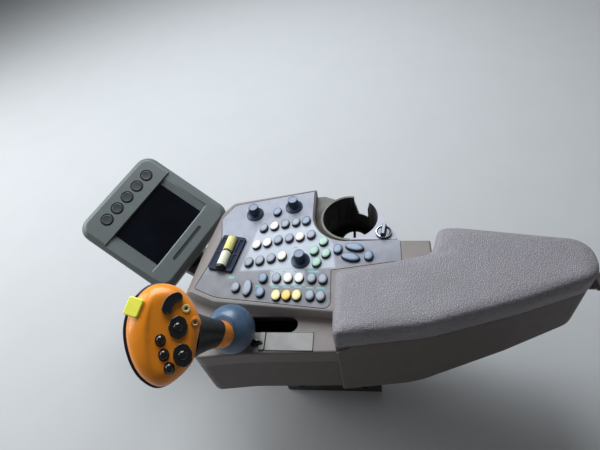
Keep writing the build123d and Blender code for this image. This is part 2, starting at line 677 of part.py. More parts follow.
def make_grip_lamps():
    disc = Circle(GRIP_LAMP_R)
    return Compound([grip_plane() * key_level(x, y) * domed(disc, GRIP_LAMP_H, 0.5) for x, y in GRIP_LAMPS])


def make_grip_rocker():
    bar = domed(SlotOverall(ROCKER_L, ROCKER_W), ROCKER_H, 1.0)
    return grip_plane() * key_level(ROCKER_X, ROCKER_Y, ROCKER_TURN_DEG) * bar


def make_stop_button():
    """A square button on the grip's shoulder, seated in the rear shell's mouth."""
    button = domed(RectangleRounded(STOP_W, STOP_L, STOP_CORNER_R), STOP_TOP_Z, 1.5)
    return grip_plane() * Pos(STOP_X, STOP_Y) * Rot(0, 0, STOP_TURN_DEG) * button - make_grip_face()


def case_face():
    return Pos(CASE_CENTRE_X, CASE_CENTRE_Y) * RectangleRounded(CASE_W, CASE_H, CASE_CORNER_R)


def make_display_case():
    """Front case: raised key strip, a sunk band with stepped side ledges and the window for the screen."""
    body = round_top(slab(case_face(), -CASE_T, 0.0), CASE_EDGE_R)
    slope = make_face(Polyline((STRIP_Y, 1), (STRIP_Y, -STRIP_STEP), (BEVEL_Y, 0), (BEVEL_Y, 1), close=True))
    body -= extrude(Plane.YZ * slope, CASE_W, both=True)
    for i in range(LEDGE_COUNT):
        half = SCREEN_W / 2 + LEDGE_W * (i + 1)
        depth = SCREEN_RECESS * (LEDGE_COUNT - i) / LEDGE_COUNT + STRIP_STEP * 0.5
        band = Pos(0, (STRIP_Y + BEVEL_Y) / 2) * Rectangle(2 * half, STRIP_Y - BEVEL_Y)
        body -= slab(band, -depth, 5.0)
    window = RectangleRounded(SCREEN_W + 0.6, SCREEN_H + 0.6, 1.0)
    body -= slab(window, SCREEN_BACK_Z - 0.1, 5.0)
    for x in DISPLAY_KEY_X:
        body -= Pos(x, DISPLAY_KEY_Y) * slab(Circle(DISPLAY_KEY_R + KEY_RING), -DISPLAY_KEY_SINK, 5.0)
    return display_plane() * body


def make_display_screen():
    return display_plane() * slab(Rectangle(SCREEN_W, SCREEN_H), SCREEN_BACK_Z, SCREEN_BACK_Z + SCREEN_T)


def make_display_keys():
    one = Pos(0, 0, -DISPLAY_KEY_SINK) * domed(
        Circle(DISPLAY_KEY_R), DISPLAY_KEY_SINK + DISPLAY_KEY_RISE, DISPLAY_KEY_RISE * 0.6)
    return Compound([display_plane() * Pos(x, DISPLAY_KEY_Y) * one for x in DISPLAY_KEY_X])


def make_display_back():
    """Rear shell with the knuckle that the tilt pin passes."""
    top = Plane.XY.offset(-CASE_T) * Pos(CASE_CENTRE_X, CASE_CENTRE_Y) * RectangleRounded(
        CASE_W - 2 * BACK_RIM_INSET, CASE_H - 2 * BACK_RIM_INSET, BACK_CORNER_R)
    low = Plane.XY.offset(-CASE_T - BACK_T) * Pos(CASE_CENTRE_X, CASE_CENTRE_Y) * RectangleRounded(
        BACK_W, BACK_H, BACK_CORNER_R)
    shell = loft([top, low])
    knuckle = Pos(0, 0, -TILT_OFFSET) * Rot(0, 90, 0) * Cylinder(KNUCKLE_R, KNUCKLE_L)
    web = Pos(0, 0, -TILT_OFFSET) * Box(KNUCKLE_L, 2 * KNUCKLE_R - 4, TILT_OFFSET - CASE_T - BACK_T + 2,
                                       align=(Align.CENTER, Align.CENTER, Align.MIN))
    bore = Pos(0, 0, -TILT_OFFSET) * Rot(0, 90, 0) * Cylinder(TILT_PIN_R + RUNNING_GAP, KNUCKLE_L + 4)
    return display_plane() * (shell + web + knuckle - bore)


def make_tilt_pin():
    length = KNUCKLE_L + 2 * EAR_GAP + 2 * EAR_T + 6
    return yoke_plane() * Rot(0, 90, 0) * Cylinder(TILT_PIN_R, length)


def make_swivel_yoke():
    """A base disc on a stub, with two ears for the tilt pin."""
    base = slab(Circle(YOKE_R + 4), -YOKE_BASE_DOWN - YOKE_BASE_T, -YOKE_BASE_DOWN)
    stub = slab(Circle(STUB_R), -YOKE_BASE_DOWN - YOKE_BASE_T - STUB_L, -YOKE_BASE_DOWN)
    body = base + stub
    for side in (-1, 1):
        ear_x = side * (KNUCKLE_L / 2 + EAR_GAP + EAR_T / 2)
        tall = Pos(ear_x, 0, -YOKE_BASE_DOWN) * Box(EAR_T, 2 * KNUCKLE_R + 2, YOKE_BASE_DOWN,
                                                   align=(Align.CENTER, Align.CENTER, Align.MIN))
        eye = Pos(ear_x, 0, 0) * Rot(0, 90, 0) * Cylinder(KNUCKLE_R + 1, EAR_T)
        body += tall + eye
    body -= Rot(0, 90, 0) * Cylinder(TILT_PIN_R + RUNNING_GAP, 4 * KNUCKLE_L)
    return yoke_plane() * body


def post_foot():
    """Where the swivel axis meets the middle of the flat arm."""
    down = (tilt_centre().Z - (SHELL_FLOOR_Z - ARM_T / 2)) / swivel_axis().Z
    return tilt_centre() - swivel_axis() * down


def make_display_arm():
    """A flat bar under the tub with a leaning post for the display's swivel."""
    foot = post_foot()
    reach = Vector(foot.X - ARM_ROOT_X, foot.Y - ARM_ROOT_Y, 0)
    angle = Vector(1, 0, 0).get_signed_angle(reach, Vector(0, 0, 1))
    middle = Vector((foot.X + ARM_ROOT_X) / 2, (foot.Y + ARM_ROOT_Y) / 2, 0)
    bar = Pos(middle.X, middle.Y, SHELL_FLOOR_Z - ARM_T) * Rot(0, 0, angle) * extrude(
        SlotOverall(reach.length + ARM_W, ARM_W), ARM_T)
    post_top = -YOKE_BASE_DOWN - YOKE_BASE_T - EAR_GAP
    post = yoke_plane() * slab(Circle(POST_R), post_top - POST_L, post_top)
    post &= Pos(foot.X, foot.Y, SHELL_FLOOR_Z - ARM_T) * Box(
        3 * POST_L, 3 * POST_L, 3 * POST_L, align=(Align.CENTER, Align.CENTER, Align.MIN))
    socket = yoke_plane() * slab(Circle(STUB_R + RUNNING_GAP), post_top - STUB_L - 1, post_top + 1)
    return bar + post - socket


def make_seat_bracket():
    """A foot plate under the tub, an upright plate with four bolt holes and two ribs."""
    foot_top = SHELL_FLOOR_Z
    plate_mid_y = BRACKET_Y - BRACKET_T / 2
    foot = Pos(BRACKET_X, BRACKET_Y - BRACKET_FOOT_Y / 2, foot_top - BRACKET_T / 2) * Box(
        BRACKET_FOOT_X, BRACKET_FOOT_Y, BRACKET_T)
    upright = Pos(BRACKET_X, plate_mid_y, BRACKET_LOW_Z) * Box(
        BRACKET_PLATE_X, BRACKET_T, foot_top - BRACKET_LOW_Z, align=(Align.CENTER, Align.CENTER, Align.MIN))
    body = foot + upright
    rib_profile = make_face(Polyline((BRACKET_Y - 1, foot_top - 1), (BRACKET_Y - 90, foot_top - 1),
                                     (BRACKET_Y - 90, foot_top - 10), (BRACKET_Y - 1, BRACKET_LOW_Z + 12), close=True))
    for side in (-1, 1):
        rib = Plane.YZ.offset(BRACKET_X + side * (BRACKET_PLATE_X / 2 - BRACKET_T / 2)) * extrude(
            rib_profile, BRACKET_T / 2, both=True)
        body += rib
    for side in (-1, 1):
        for level in (-1, 1):
            body -= Pos(BRACKET_X + side * BOLT_SPACING_X / 2, plate_mid_y,
                        BRACKET_Z + level * BOLT_SPACING_Z / 2) * Rot(90, 0, 0) * Cylinder(BOLT_HOLE_R, 20)
    return body


# Every piece by its name
PIECES = {
    "seat_bracket": make_seat_bracket,
    "lower_shell": make_lower_shell,
    "top_housing": make_top_housing,
    "keypad_plate": make_keypad_plate,
    "keys_grey": lambda: keys(GREY_KEYS),
    "keys_white": lambda: keys(WHITE_KEYS),
    "keys_green": lambda: keys(GREEN_KEYS),
    "keys_blue": lambda: keys(BLUE_KEYS),
    "keys_yellow": lambda: keys(YELLOW_KEYS),
    "keys_long": make_long_keys,
    "rotary_knobs": make_knobs,
    "selector_knob": make_selector_knob,
    "paddle_frame": make_paddle_frame,
    "paddle_yellow": lambda: paddle(-1),
    "paddle_cream": lambda: paddle(1),
    "cup_holder": make_cup_holder,
    "card_plate": make_card_plate,
    "lock_lever": make_lock_lever,
    "armrest_base": make_armrest_base,
    "lid_hinge_pin": make_hinge_pin,
    "lid_plate": make_lid_plate,
    "armrest_pad": make_armrest_pad,
    "lever_guide": make_lever_guide,
    "lever_carriage": make_lever_carriage,
    "lever_shaft": make_lever_shaft,
    "lever_boot": make_lever_boot,
    "lever_collar": make_lever_collar,
    "grip_back": make_grip_back,
    "grip_face": make_grip_face,
    "grip_pads": make_grip_pads,
    "grip_buttons": make_grip_buttons,
    "grip_lamps": make_grip_lamps,
    "grip_rocker": make_grip_rocker,
    "stop_button": make_stop_button,
    "display_arm": make_display_arm,
    "swivel_yoke": make_swivel_yoke,
    "tilt_pin": make_tilt_pin,
    "display_back": make_display_back,
    "display_case": make_display_case,
    "display_screen": make_display_screen,
    "display_keys": make_display_keys,
}

os.makedirs("parts", exist_ok=True)
to_mount = Pos(-BRACKET_X, -BRACKET_Y, -BRACKET_Z)
for name, make in PIECES.items():
    export_step(to_mount * make(), f"parts/{name}.step")
for name, point, direction in (
    ("tilt", tilt_centre(), display_right()),
    ("swivel", tilt_centre(), swivel_axis()),
    ("lid", Vector(HINGE_X, HINGE_Y, HINGE_Z), Vector(0, 1, 0)),
):
    at = to_mount * Pos(point)
    print(name, [round(v, 3) for v in at.position], [round(v, 5) for v in direction])
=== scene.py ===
"""Dresses the right-hand control console of a combine harvester cab.

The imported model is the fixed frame: its origin is the middle of the seat bracket's bolt holes, +X points
forward in the cab, +Y to the driver and +Z up. Every size in this file is in millimetres, and a piece is
drawn about its own datum before it is put in its place.
"""
from __future__ import annotations

import json
import logging
from collections.abc import Callable, Sequence
from dataclasses import dataclass, field
from enum import Enum
from math import atan2, cos, exp, hypot, log, radians, sin, tau

import bmesh
import bpy
from mathutils import Matrix, Vector

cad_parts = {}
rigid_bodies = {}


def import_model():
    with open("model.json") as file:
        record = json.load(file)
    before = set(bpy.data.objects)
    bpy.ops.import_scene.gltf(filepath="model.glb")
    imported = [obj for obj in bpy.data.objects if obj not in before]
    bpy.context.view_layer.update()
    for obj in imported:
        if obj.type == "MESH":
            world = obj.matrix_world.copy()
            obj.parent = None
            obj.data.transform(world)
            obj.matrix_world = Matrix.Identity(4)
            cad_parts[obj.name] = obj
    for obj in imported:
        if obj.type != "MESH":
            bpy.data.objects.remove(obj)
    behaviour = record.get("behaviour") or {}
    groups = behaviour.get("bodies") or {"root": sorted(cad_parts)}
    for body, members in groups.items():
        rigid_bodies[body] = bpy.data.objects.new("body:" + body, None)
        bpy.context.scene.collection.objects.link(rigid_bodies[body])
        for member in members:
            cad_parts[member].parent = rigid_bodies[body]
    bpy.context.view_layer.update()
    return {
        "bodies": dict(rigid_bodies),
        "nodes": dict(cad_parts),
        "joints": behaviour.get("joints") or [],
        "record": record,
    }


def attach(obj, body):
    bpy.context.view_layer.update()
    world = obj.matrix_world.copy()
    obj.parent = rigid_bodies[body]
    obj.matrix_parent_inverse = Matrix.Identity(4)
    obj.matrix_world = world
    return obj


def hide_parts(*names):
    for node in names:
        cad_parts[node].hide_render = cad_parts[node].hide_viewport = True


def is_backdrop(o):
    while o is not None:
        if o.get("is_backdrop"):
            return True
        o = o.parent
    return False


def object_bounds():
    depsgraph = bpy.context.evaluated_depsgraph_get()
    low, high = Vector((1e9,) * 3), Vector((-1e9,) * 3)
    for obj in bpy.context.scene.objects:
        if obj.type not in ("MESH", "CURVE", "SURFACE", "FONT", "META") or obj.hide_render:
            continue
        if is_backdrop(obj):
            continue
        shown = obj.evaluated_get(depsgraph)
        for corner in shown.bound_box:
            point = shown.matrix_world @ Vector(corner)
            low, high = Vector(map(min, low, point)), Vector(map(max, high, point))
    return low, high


LOG = logging.getLogger("console")
MM = 0.001
DATUM = Vector((80.0, -100.0, 190.0))
ROW = Matrix.Scale(MM, 4)
CONSOLE = ROW @ Matrix.Translation(DATUM)
# How much of a direction points up or down where an edge or a face counts as upright or level
ALONG_Z = 0.9
Colour = tuple[float, float, float]
Socket = bpy.types.NodeSocket
Test = Callable[[Vector, Vector], bool]


class Body(Enum):
    """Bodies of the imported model."""

    CONSOLE = "console"
    LEVER = "lever"
    YOKE = "display_yoke"
    DISPLAY = "display"
    LID = "armrest_lid"


class Element(Enum):
    """Elements of a mesh that can be selected."""

    FACE = "FACE"
    EDGE = "EDGE"
    VERT = "VERT"


class Blend(Enum):
    """Ways of combining two solids."""

    CUT = "DIFFERENCE"
    FUSE = "UNION"
    TRIM = "INTERSECT"


def tone(red: int, green: int, blue: int) -> Colour:
    """Turns a screen colour into the light values that a shader takes.

    Args:
        red: Red part, 0 to 255.
        green: Green part, 0 to 255.
        blue: Blue part, 0 to 255.

    Returns:
        The three linear values.
    """
    parts = (red / 255, green / 255, blue / 255)
    return tuple(p / 12.92 if p <= 0.04045 else ((p + 0.055) / 1.055) ** 2.4 for p in parts)


def drawn_at(origin: Vector, right: Vector, normal: Vector) -> Matrix:
    """Gives the place of a sub-assembly that is drawn flat about its own datum.

    Args:
        origin: Datum of the sub-assembly, from the console's datum.
        right: Direction of its x axis.
        normal: Direction of its z axis.

    Returns:
        The matrix from its own millimetres to the frame's metres.
    """
    upward = normal.normalized()
    across = (right - upward * right.dot(upward)).normalized()
    turn = Matrix((across, upward.cross(across), upward)).transposed().to_4x4()
    return CONSOLE @ Matrix.Translation(origin) @ turn


def turned(x: float, y: float, degrees: float, z: float = 0.0) -> Matrix:
    """Place of one of several like parts, turned about its own upright axis."""
    return Matrix.Translation((x, y, z)) @ Matrix.Rotation(radians(degrees), 4, "Z")


def arc(radius: float, start: float, end: float, steps: int, middle: tuple[float, float] = (0.0, 0.0)
        ) -> list[tuple[float, float]]:
    """Points along an arc.

    Args:
        radius: Radius of the arc.
        start: First angle in degrees.
        end: Last angle in degrees.
        steps: Number of spans.
        middle: Centre of the arc.

    Returns:
        The points, ends included.
    """
    angles = [radians(start + (end - start) * i / steps) for i in range(steps + 1)]
    return [(middle[0] + radius * cos(a), middle[1] + radius * sin(a)) for a in angles]


class Workpiece:
    """One mesh on the bench, shaped in millimetres by Blender's own modelling tools."""

    def __init__(self, obj: bpy.types.Object) -> None:
        """Takes an object onto the bench."""
        self.obj = obj

    @staticmethod
    def focus(*objects: bpy.types.Object) -> None:
        """Selects only these objects and makes the last one active.

        Args:
            objects: Objects to select, the active one last.
        """
        if bpy.context.mode != "OBJECT":
            bpy.ops.object.mode_set(mode="OBJECT")
        bpy.ops.object.select_all(action="DESELECT")
        for obj in objects:
            obj.select_set(True)
        if objects:
            bpy.context.view_layer.objects.active = objects[-1]

    @classmethod
    def _fresh(cls, name: str) -> Workpiece:
        """Names the primitive that was just added and bakes its place into its mesh.

        Args:
            name: Name of the piece.

        Returns:
            The piece on the bench.
        """
        obj = bpy.context.active_object
        obj.name = name
        obj.data.name = name
        bpy.ops.object.transform_apply(location=True, rotation=True, scale=True)
        return cls(obj)

    @classmethod
    def block(cls, name: str, low: Sequence[float], high: Sequence[float]) -> Workpiece:
        """Starts from a block between two corners.

        Args:
            name: Name of the piece.
            low: Lowest corner.
            high: Highest corner.

        Returns:
            The block.
        """
        cls.focus()
        middle = [(a + b) / 2 for a, b in zip(low, high)]
        size = [b - a for a, b in zip(low, high)]
        bpy.ops.mesh.primitive_cube_add(size=1.0, location=middle, scale=size)
        return cls._fresh(name)

    @classmethod
    def rod(cls, name: str, radius: float, low: float, high: float, at: tuple[float, float] = (0.0, 0.0),
            sides: int = 48) -> Workpiece:
        """Starts from an upright round bar between two levels.

        Args:
            name: Name of the piece.
            radius: Radius of the bar.
            low: Level of its foot.
            high: Level of its top.
            at: Place of its axis.
            sides: Number of faces round it.

        Returns:
            The bar.
        """
        cls.focus()
        bpy.ops.mesh.primitive_cylinder_add(
            vertices=sides, radius=radius, depth=high - low, location=(at[0], at[1], (low + high) / 2))
        return cls._fresh(name)

    @classmethod
    def _chain(cls, name: str, points: Sequence[Sequence[float]]) -> Workpiece:
        """Draws an open line of edges, point by point, from a plane merged to one corner.

        Args:
            name: Name of the piece.
            points: Points of the line.

        Returns:
            The line, open in edit mode.
        """
        cls.focus()
        bpy.ops.mesh.primitive_plane_add(size=1.0)
        work = cls._fresh(name)
        bpy.ops.object.mode_set(mode="EDIT")
        bpy.ops.mesh.select_mode(type="VERT")
        bpy.ops.mesh.select_all(action="SELECT")
        bpy.ops.mesh.merge(type="CENTER")
        here = Vector(points[0])
        bpy.ops.transform.translate(value=here)
        for point in points[1:]:
            step = Vector(point) - here
            bpy.ops.mesh.extrude_region_move(TRANSFORM_OT_translate={"value": step})
            here = Vector(point)
        return work

    @classmethod
    def lathe(cls, name: str, profile: Sequence[tuple[float, float]], steps: int = 48) -> Workpiece:
        """Turns a profile of radius and height about the upright axis.

        Args:
            name: Name of the piece.
            profile: Points of radius and height, from the foot to the top.
            steps: Number of spans round the axis.

        Returns:
            The closed, outward-facing turned form.
        """
        work = cls._chain(name, [(r, 0.0, z) for r, z in profile])
        bpy.ops.mesh.select_all(action="SELECT")
        bpy.ops.mesh.spin(steps=steps, angle=tau, center=(0, 0, 0), axis=(0, 0, 1))
        work.weld()
        return work

    @classmethod
    def prism(cls, name: str, outline: Sequence[tuple[float, float]], low: float, high: float) -> Workpiece:
        """Raises a flat outline between two levels.

        Args:
            name: Name of the piece.
            outline: Corners of the outline, in order.
            low: Level of its foot.
            high: Level of its top.

        Returns:
            The solid.
        """
        work = cls._chain(name, [(x, y, low) for x, y in outline])
        bpy.ops.mesh.select_all(action="SELECT")
        bpy.ops.mesh.edge_face_add()
        bpy.ops.mesh.select_all(action="SELECT")
        bpy.ops.mesh.extrude_region_move(TRANSFORM_OT_translate={"value": (0.0, 0.0, high - low)})
        work.weld()
        return work

    @classmethod
    def loft(cls, name: str, rings: Sequence[Sequence[Vector]]) -> Workpiece:
        """Extrudes a ring of edges through a row of like rings.

        Args:
            name: Name of the piece.
            rings: Rings of as many points each, in order.

        Returns:
            The outward-facing form, closed at both ends.
        """
        cls.focus()
        bpy.ops.mesh.primitive_circle_add(vertices=len(rings[0]), radius=1.0)
        work = cls._fresh(name)
        bpy.ops.object.mode_set(mode="EDIT")
        bpy.ops.mesh.select_mode(type="VERT")
        bpy.ops.mesh.select_all(action="SELECT")
        mesh = bmesh.from_edit_mesh(work.obj.data)
        mesh.verts.ensure_lookup_table()
        for vert, point in zip(mesh.verts, rings[0]):
            vert.co = point
        row = {vert.index: i for i, vert in enumerate(mesh.verts)}
        for ring in rings[1:]:
            bpy.ops.mesh.extrude_region_move(TRANSFORM_OT_translate={"value": (0.0, 0.0, 1.0)})
            mesh = bmesh.from_edit_mesh(work.obj.data)
            mesh.verts.index_update()
            mesh.verts.ensure_lookup_table()
            fresh = [vert for vert in mesh.verts if vert.select]
            places = {}
            for vert in fresh:
                root = next(e.other_vert(vert) for e in vert.link_edges if e.other_vert(vert).index in row)
                places[vert.index] = row[root.index]
            for vert in fresh:
                vert.co = ring[places[vert.index]]
            row = places
            bmesh.update_edit_mesh(work.obj.data)
        for ring in (rings[0], rings[-1]):
            work.verts(lambda place, normal: min((place - p).length for p in ring) < 1e-3)
            bpy.ops.mesh.edge_face_add()
        work.weld()
        return work

    @classmethod
    def of_node(cls, frame: dict, node: str, name: str) -> Workpiece:
        """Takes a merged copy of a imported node, in the frame's millimetres.

        Args:
            frame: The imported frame.
            node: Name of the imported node.
            name: Name of the piece.

        Returns:
            The copy.
        """
        obj = frame["nodes"][node].copy()
        obj.data = obj.data.copy()
        obj.parent = None
        for key in list(obj.keys()):
            del obj[key]
        obj.name = name
        obj.data.name = name
        bpy.context.scene.collection.objects.link(obj)
        obj.hide_viewport = False
        obj.hide_render = False
        obj.data.materials.clear()
        obj.data.transform(Matrix.Scale(1 / MM, 4))
        work = cls(obj)
        work.open_all()
        bpy.ops.mesh.remove_doubles(threshold=0.01)
        bpy.ops.object.mode_set(mode="OBJECT")
        if obj.data.has_custom_normals:
            bpy.ops.mesh.customdata_custom_splitnormals_clear()
        return work

    def _pick(self, kind: Element, test: Test) -> None:
        """Selects the elements that a test of place and direction takes.

        Args:
            kind: Kind of element.
            test: The test.
        """
        self.focus(self.obj)
        bpy.ops.object.mode_set(mode="EDIT")
        bpy.ops.mesh.select_mode(type=kind.value)
        bpy.ops.mesh.select_all(action="DESELECT")
        mesh = bmesh.from_edit_mesh(self.obj.data)
        if kind is Element.FACE:
            found = [(face, face.calc_center_median(), face.normal) for face in mesh.faces]
        elif kind is Element.EDGE:
            spans = [(edge, *(vert.co for vert in edge.verts)) for edge in mesh.edges]
            found = [(edge, (a + b) / 2, (b - a).normalized()) for edge, a, b in spans]
        else:
            found = [(vert, vert.co, vert.normal) for vert in mesh.verts]
        for element, place, direction in found:
            if test(place, direction):
                element.select_set(True)
        mesh.select_flush_mode()
        bmesh.update_edit_mesh(self.obj.data)

    def faces(self, test: Test) -> None:
        """Selects faces by their middle and normal."""
        self._pick(Element.FACE, test)

    def edges(self, test: Test) -> None:
        """Selects edges by their middle and direction."""
        self._pick(Element.EDGE, test)

    def verts(self, test: Test) -> None:
        """Selects corners by their place and normal."""
        self._pick(Element.VERT, test)

    def open_all(self) -> None:
        """Enters edit mode with the whole mesh selected."""
        self.focus(self.obj)
        bpy.ops.object.mode_set(mode="EDIT")
        bpy.ops.mesh.select_all(action="SELECT")

    def extrude(self, move: Sequence[float]) -> None:
        """Pulls the selection out by a step."""
        bpy.ops.mesh.extrude_region_move(TRANSFORM_OT_translate={"value": tuple(move)})

    def inset(self, margin: float, depth: float = 0.0) -> None:
        """Insets the selected faces, and sinks or raises them."""
        bpy.ops.mesh.inset(thickness=margin, depth=depth)

    def round_edges(self, width: float, steps: int = 4) -> None:
        """Bevels the selected edges to a round."""
        bpy.ops.mesh.bevel(offset=width, segments=steps, affect="EDGES", clamp_overlap=True)

    def round_uprights(self, width: float, steps: int) -> None:
        """Bevels the upright edges to a round."""
        self.edges(lambda p, d: abs(d.z) > ALONG_Z)
        self.round_edges(width, steps)

    def shift(self, move: Sequence[float]) -> None:
        """Moves the selection."""
        bpy.ops.transform.translate(value=tuple(move))

    def resize(self, factors: Sequence[float], middle: Sequence[float] = (0.0, 0.0, 0.0)) -> None:
        """Scales the selection about a point."""
        bpy.ops.transform.resize(value=tuple(factors), center_override=tuple(middle))

    def weld(self) -> None:
        """Merges doubled corners and turns every face outwards."""
        self.open_all()
        bpy.ops.mesh.remove_doubles(threshold=1e-3)
        bpy.ops.mesh.normals_make_consistent(inside=False)
        bpy.ops.object.mode_set(mode="OBJECT")

    def modify(self, kind: str, **settings: object) -> Workpiece:
        """Adds a modifier and applies it.

        Args:
            kind: Type of the modifier.
            settings: Its settings.

        Returns:
            The piece itself.
        """
        self.focus(self.obj)
        modifier = self.obj.modifiers.new(kind.title(), kind)
        for key, value in settings.items():
            setattr(modifier, key, value)
        bpy.ops.object.modifier_apply(modifier=modifier.name)
        return self

    def combine(self, other: Workpiece, way: Blend) -> None:
        """Combines this solid with another one, which is used up."""
        self.modify("BOOLEAN", operation=way.value, object=other.obj, solver="EXACT")
        bpy.data.objects.remove(other.obj)

    def cut(self, tool: Workpiece) -> None:
        """Cuts another solid out of this one."""
        self.combine(tool, Blend.CUT)

    def soften(self, width: float, angle: float = 32.0, steps: int = 2) -> Workpiece:
        """Rounds every edge that is sharper than an angle."""
        return self.modify("BEVEL", width=width, segments=steps, limit_method="ANGLE",
                           angle_limit=radians(angle), miter_outer="MITER_ARC")

    def flatten_faces(self) -> Workpiece:
        """Joins the triangles that lie in one plane.

        Returns:
            The piece itself.
        """
        self.open_all()
        bpy.ops.mesh.dissolve_limited(angle_limit=radians(0.5))
        bpy.ops.object.mode_set(mode="OBJECT")
        return self

    def sculpt(self, shape: Callable[[Vector], Vector]) -> None:
        """Moves every corner to where a shape function puts it.

        Args:
            shape: Gives a corner's new place from its old one.
        """
        self.focus(self.obj)
        for vert in self.obj.data.vertices:
            vert.co = shape(vert.co.copy())
        self.obj.data.update()

    def repeated(self, places: Sequence[Matrix]) -> Workpiece:
        """Copies the piece to each place, each with its own mesh, and joins the copies.

        Args:
            places: Places of the copies.

        Returns:
            The joined copies.
        """
        self.focus(self.obj)
        copies = []
        for place in places:
            twin = self.obj.copy()
            twin.data = self.obj.data.copy()
            twin.data.transform(place)
            bpy.context.scene.collection.objects.link(twin)
            copies.append(twin)
        name = self.obj.name
        bpy.data.objects.remove(self.obj)
        self.focus(*copies)
        if len(copies) > 1:
            bpy.ops.object.join()
        self.obj = bpy.context.view_layer.objects.active
        self.obj.name = name
        return self

    def joined(self, *others: Workpiece) -> Workpiece:
        """Joins other meshes to this one without uniting them.

        Args:
            others: Pieces to join, which are used up.

        Returns:
            The joined piece.
        """
        self.focus(*[o.obj for o in others], self.obj)
        bpy.ops.object.join()
        return self

    def painted(self, finish: Finish, test: Test | None = None) -> None:
        """Gives the whole piece, or the faces that a test takes, a finish.

        Args:
            finish: The finish.
            test: Takes the faces, or nothing for all.
        """
        self.focus(self.obj)
        mesh = self.obj.data
        material = finish.material()
        if test is None:
            mesh.materials.clear()
        if material.name not in mesh.materials:
            mesh.materials.append(material)
        index = mesh.materials.find(material.name)
        for face in mesh.polygons:
            if test is None or test(face.center, face.normal):
                face.material_index = index

    def done(self, place: Matrix, body: Body, slot: str, *nodes: str, smooth: float = 32.0) -> None:
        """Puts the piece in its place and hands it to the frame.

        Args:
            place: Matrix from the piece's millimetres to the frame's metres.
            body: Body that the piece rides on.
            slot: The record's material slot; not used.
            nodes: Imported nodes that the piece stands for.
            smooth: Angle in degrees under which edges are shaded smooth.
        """
        self.focus(self.obj)
        bpy.ops.object.shade_smooth_by_angle(angle=radians(smooth))
        self.obj.data.transform(place)
        if smooth < 45.0:
            self.modify("WEIGHTED_NORMAL", keep_sharp=True)
        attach(self.obj, body.value)
        if nodes:
            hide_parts(*nodes)
        LOG.info("%s rides on %s, %d faces", self.obj.name, body.value, len(self.obj.data.polygons))


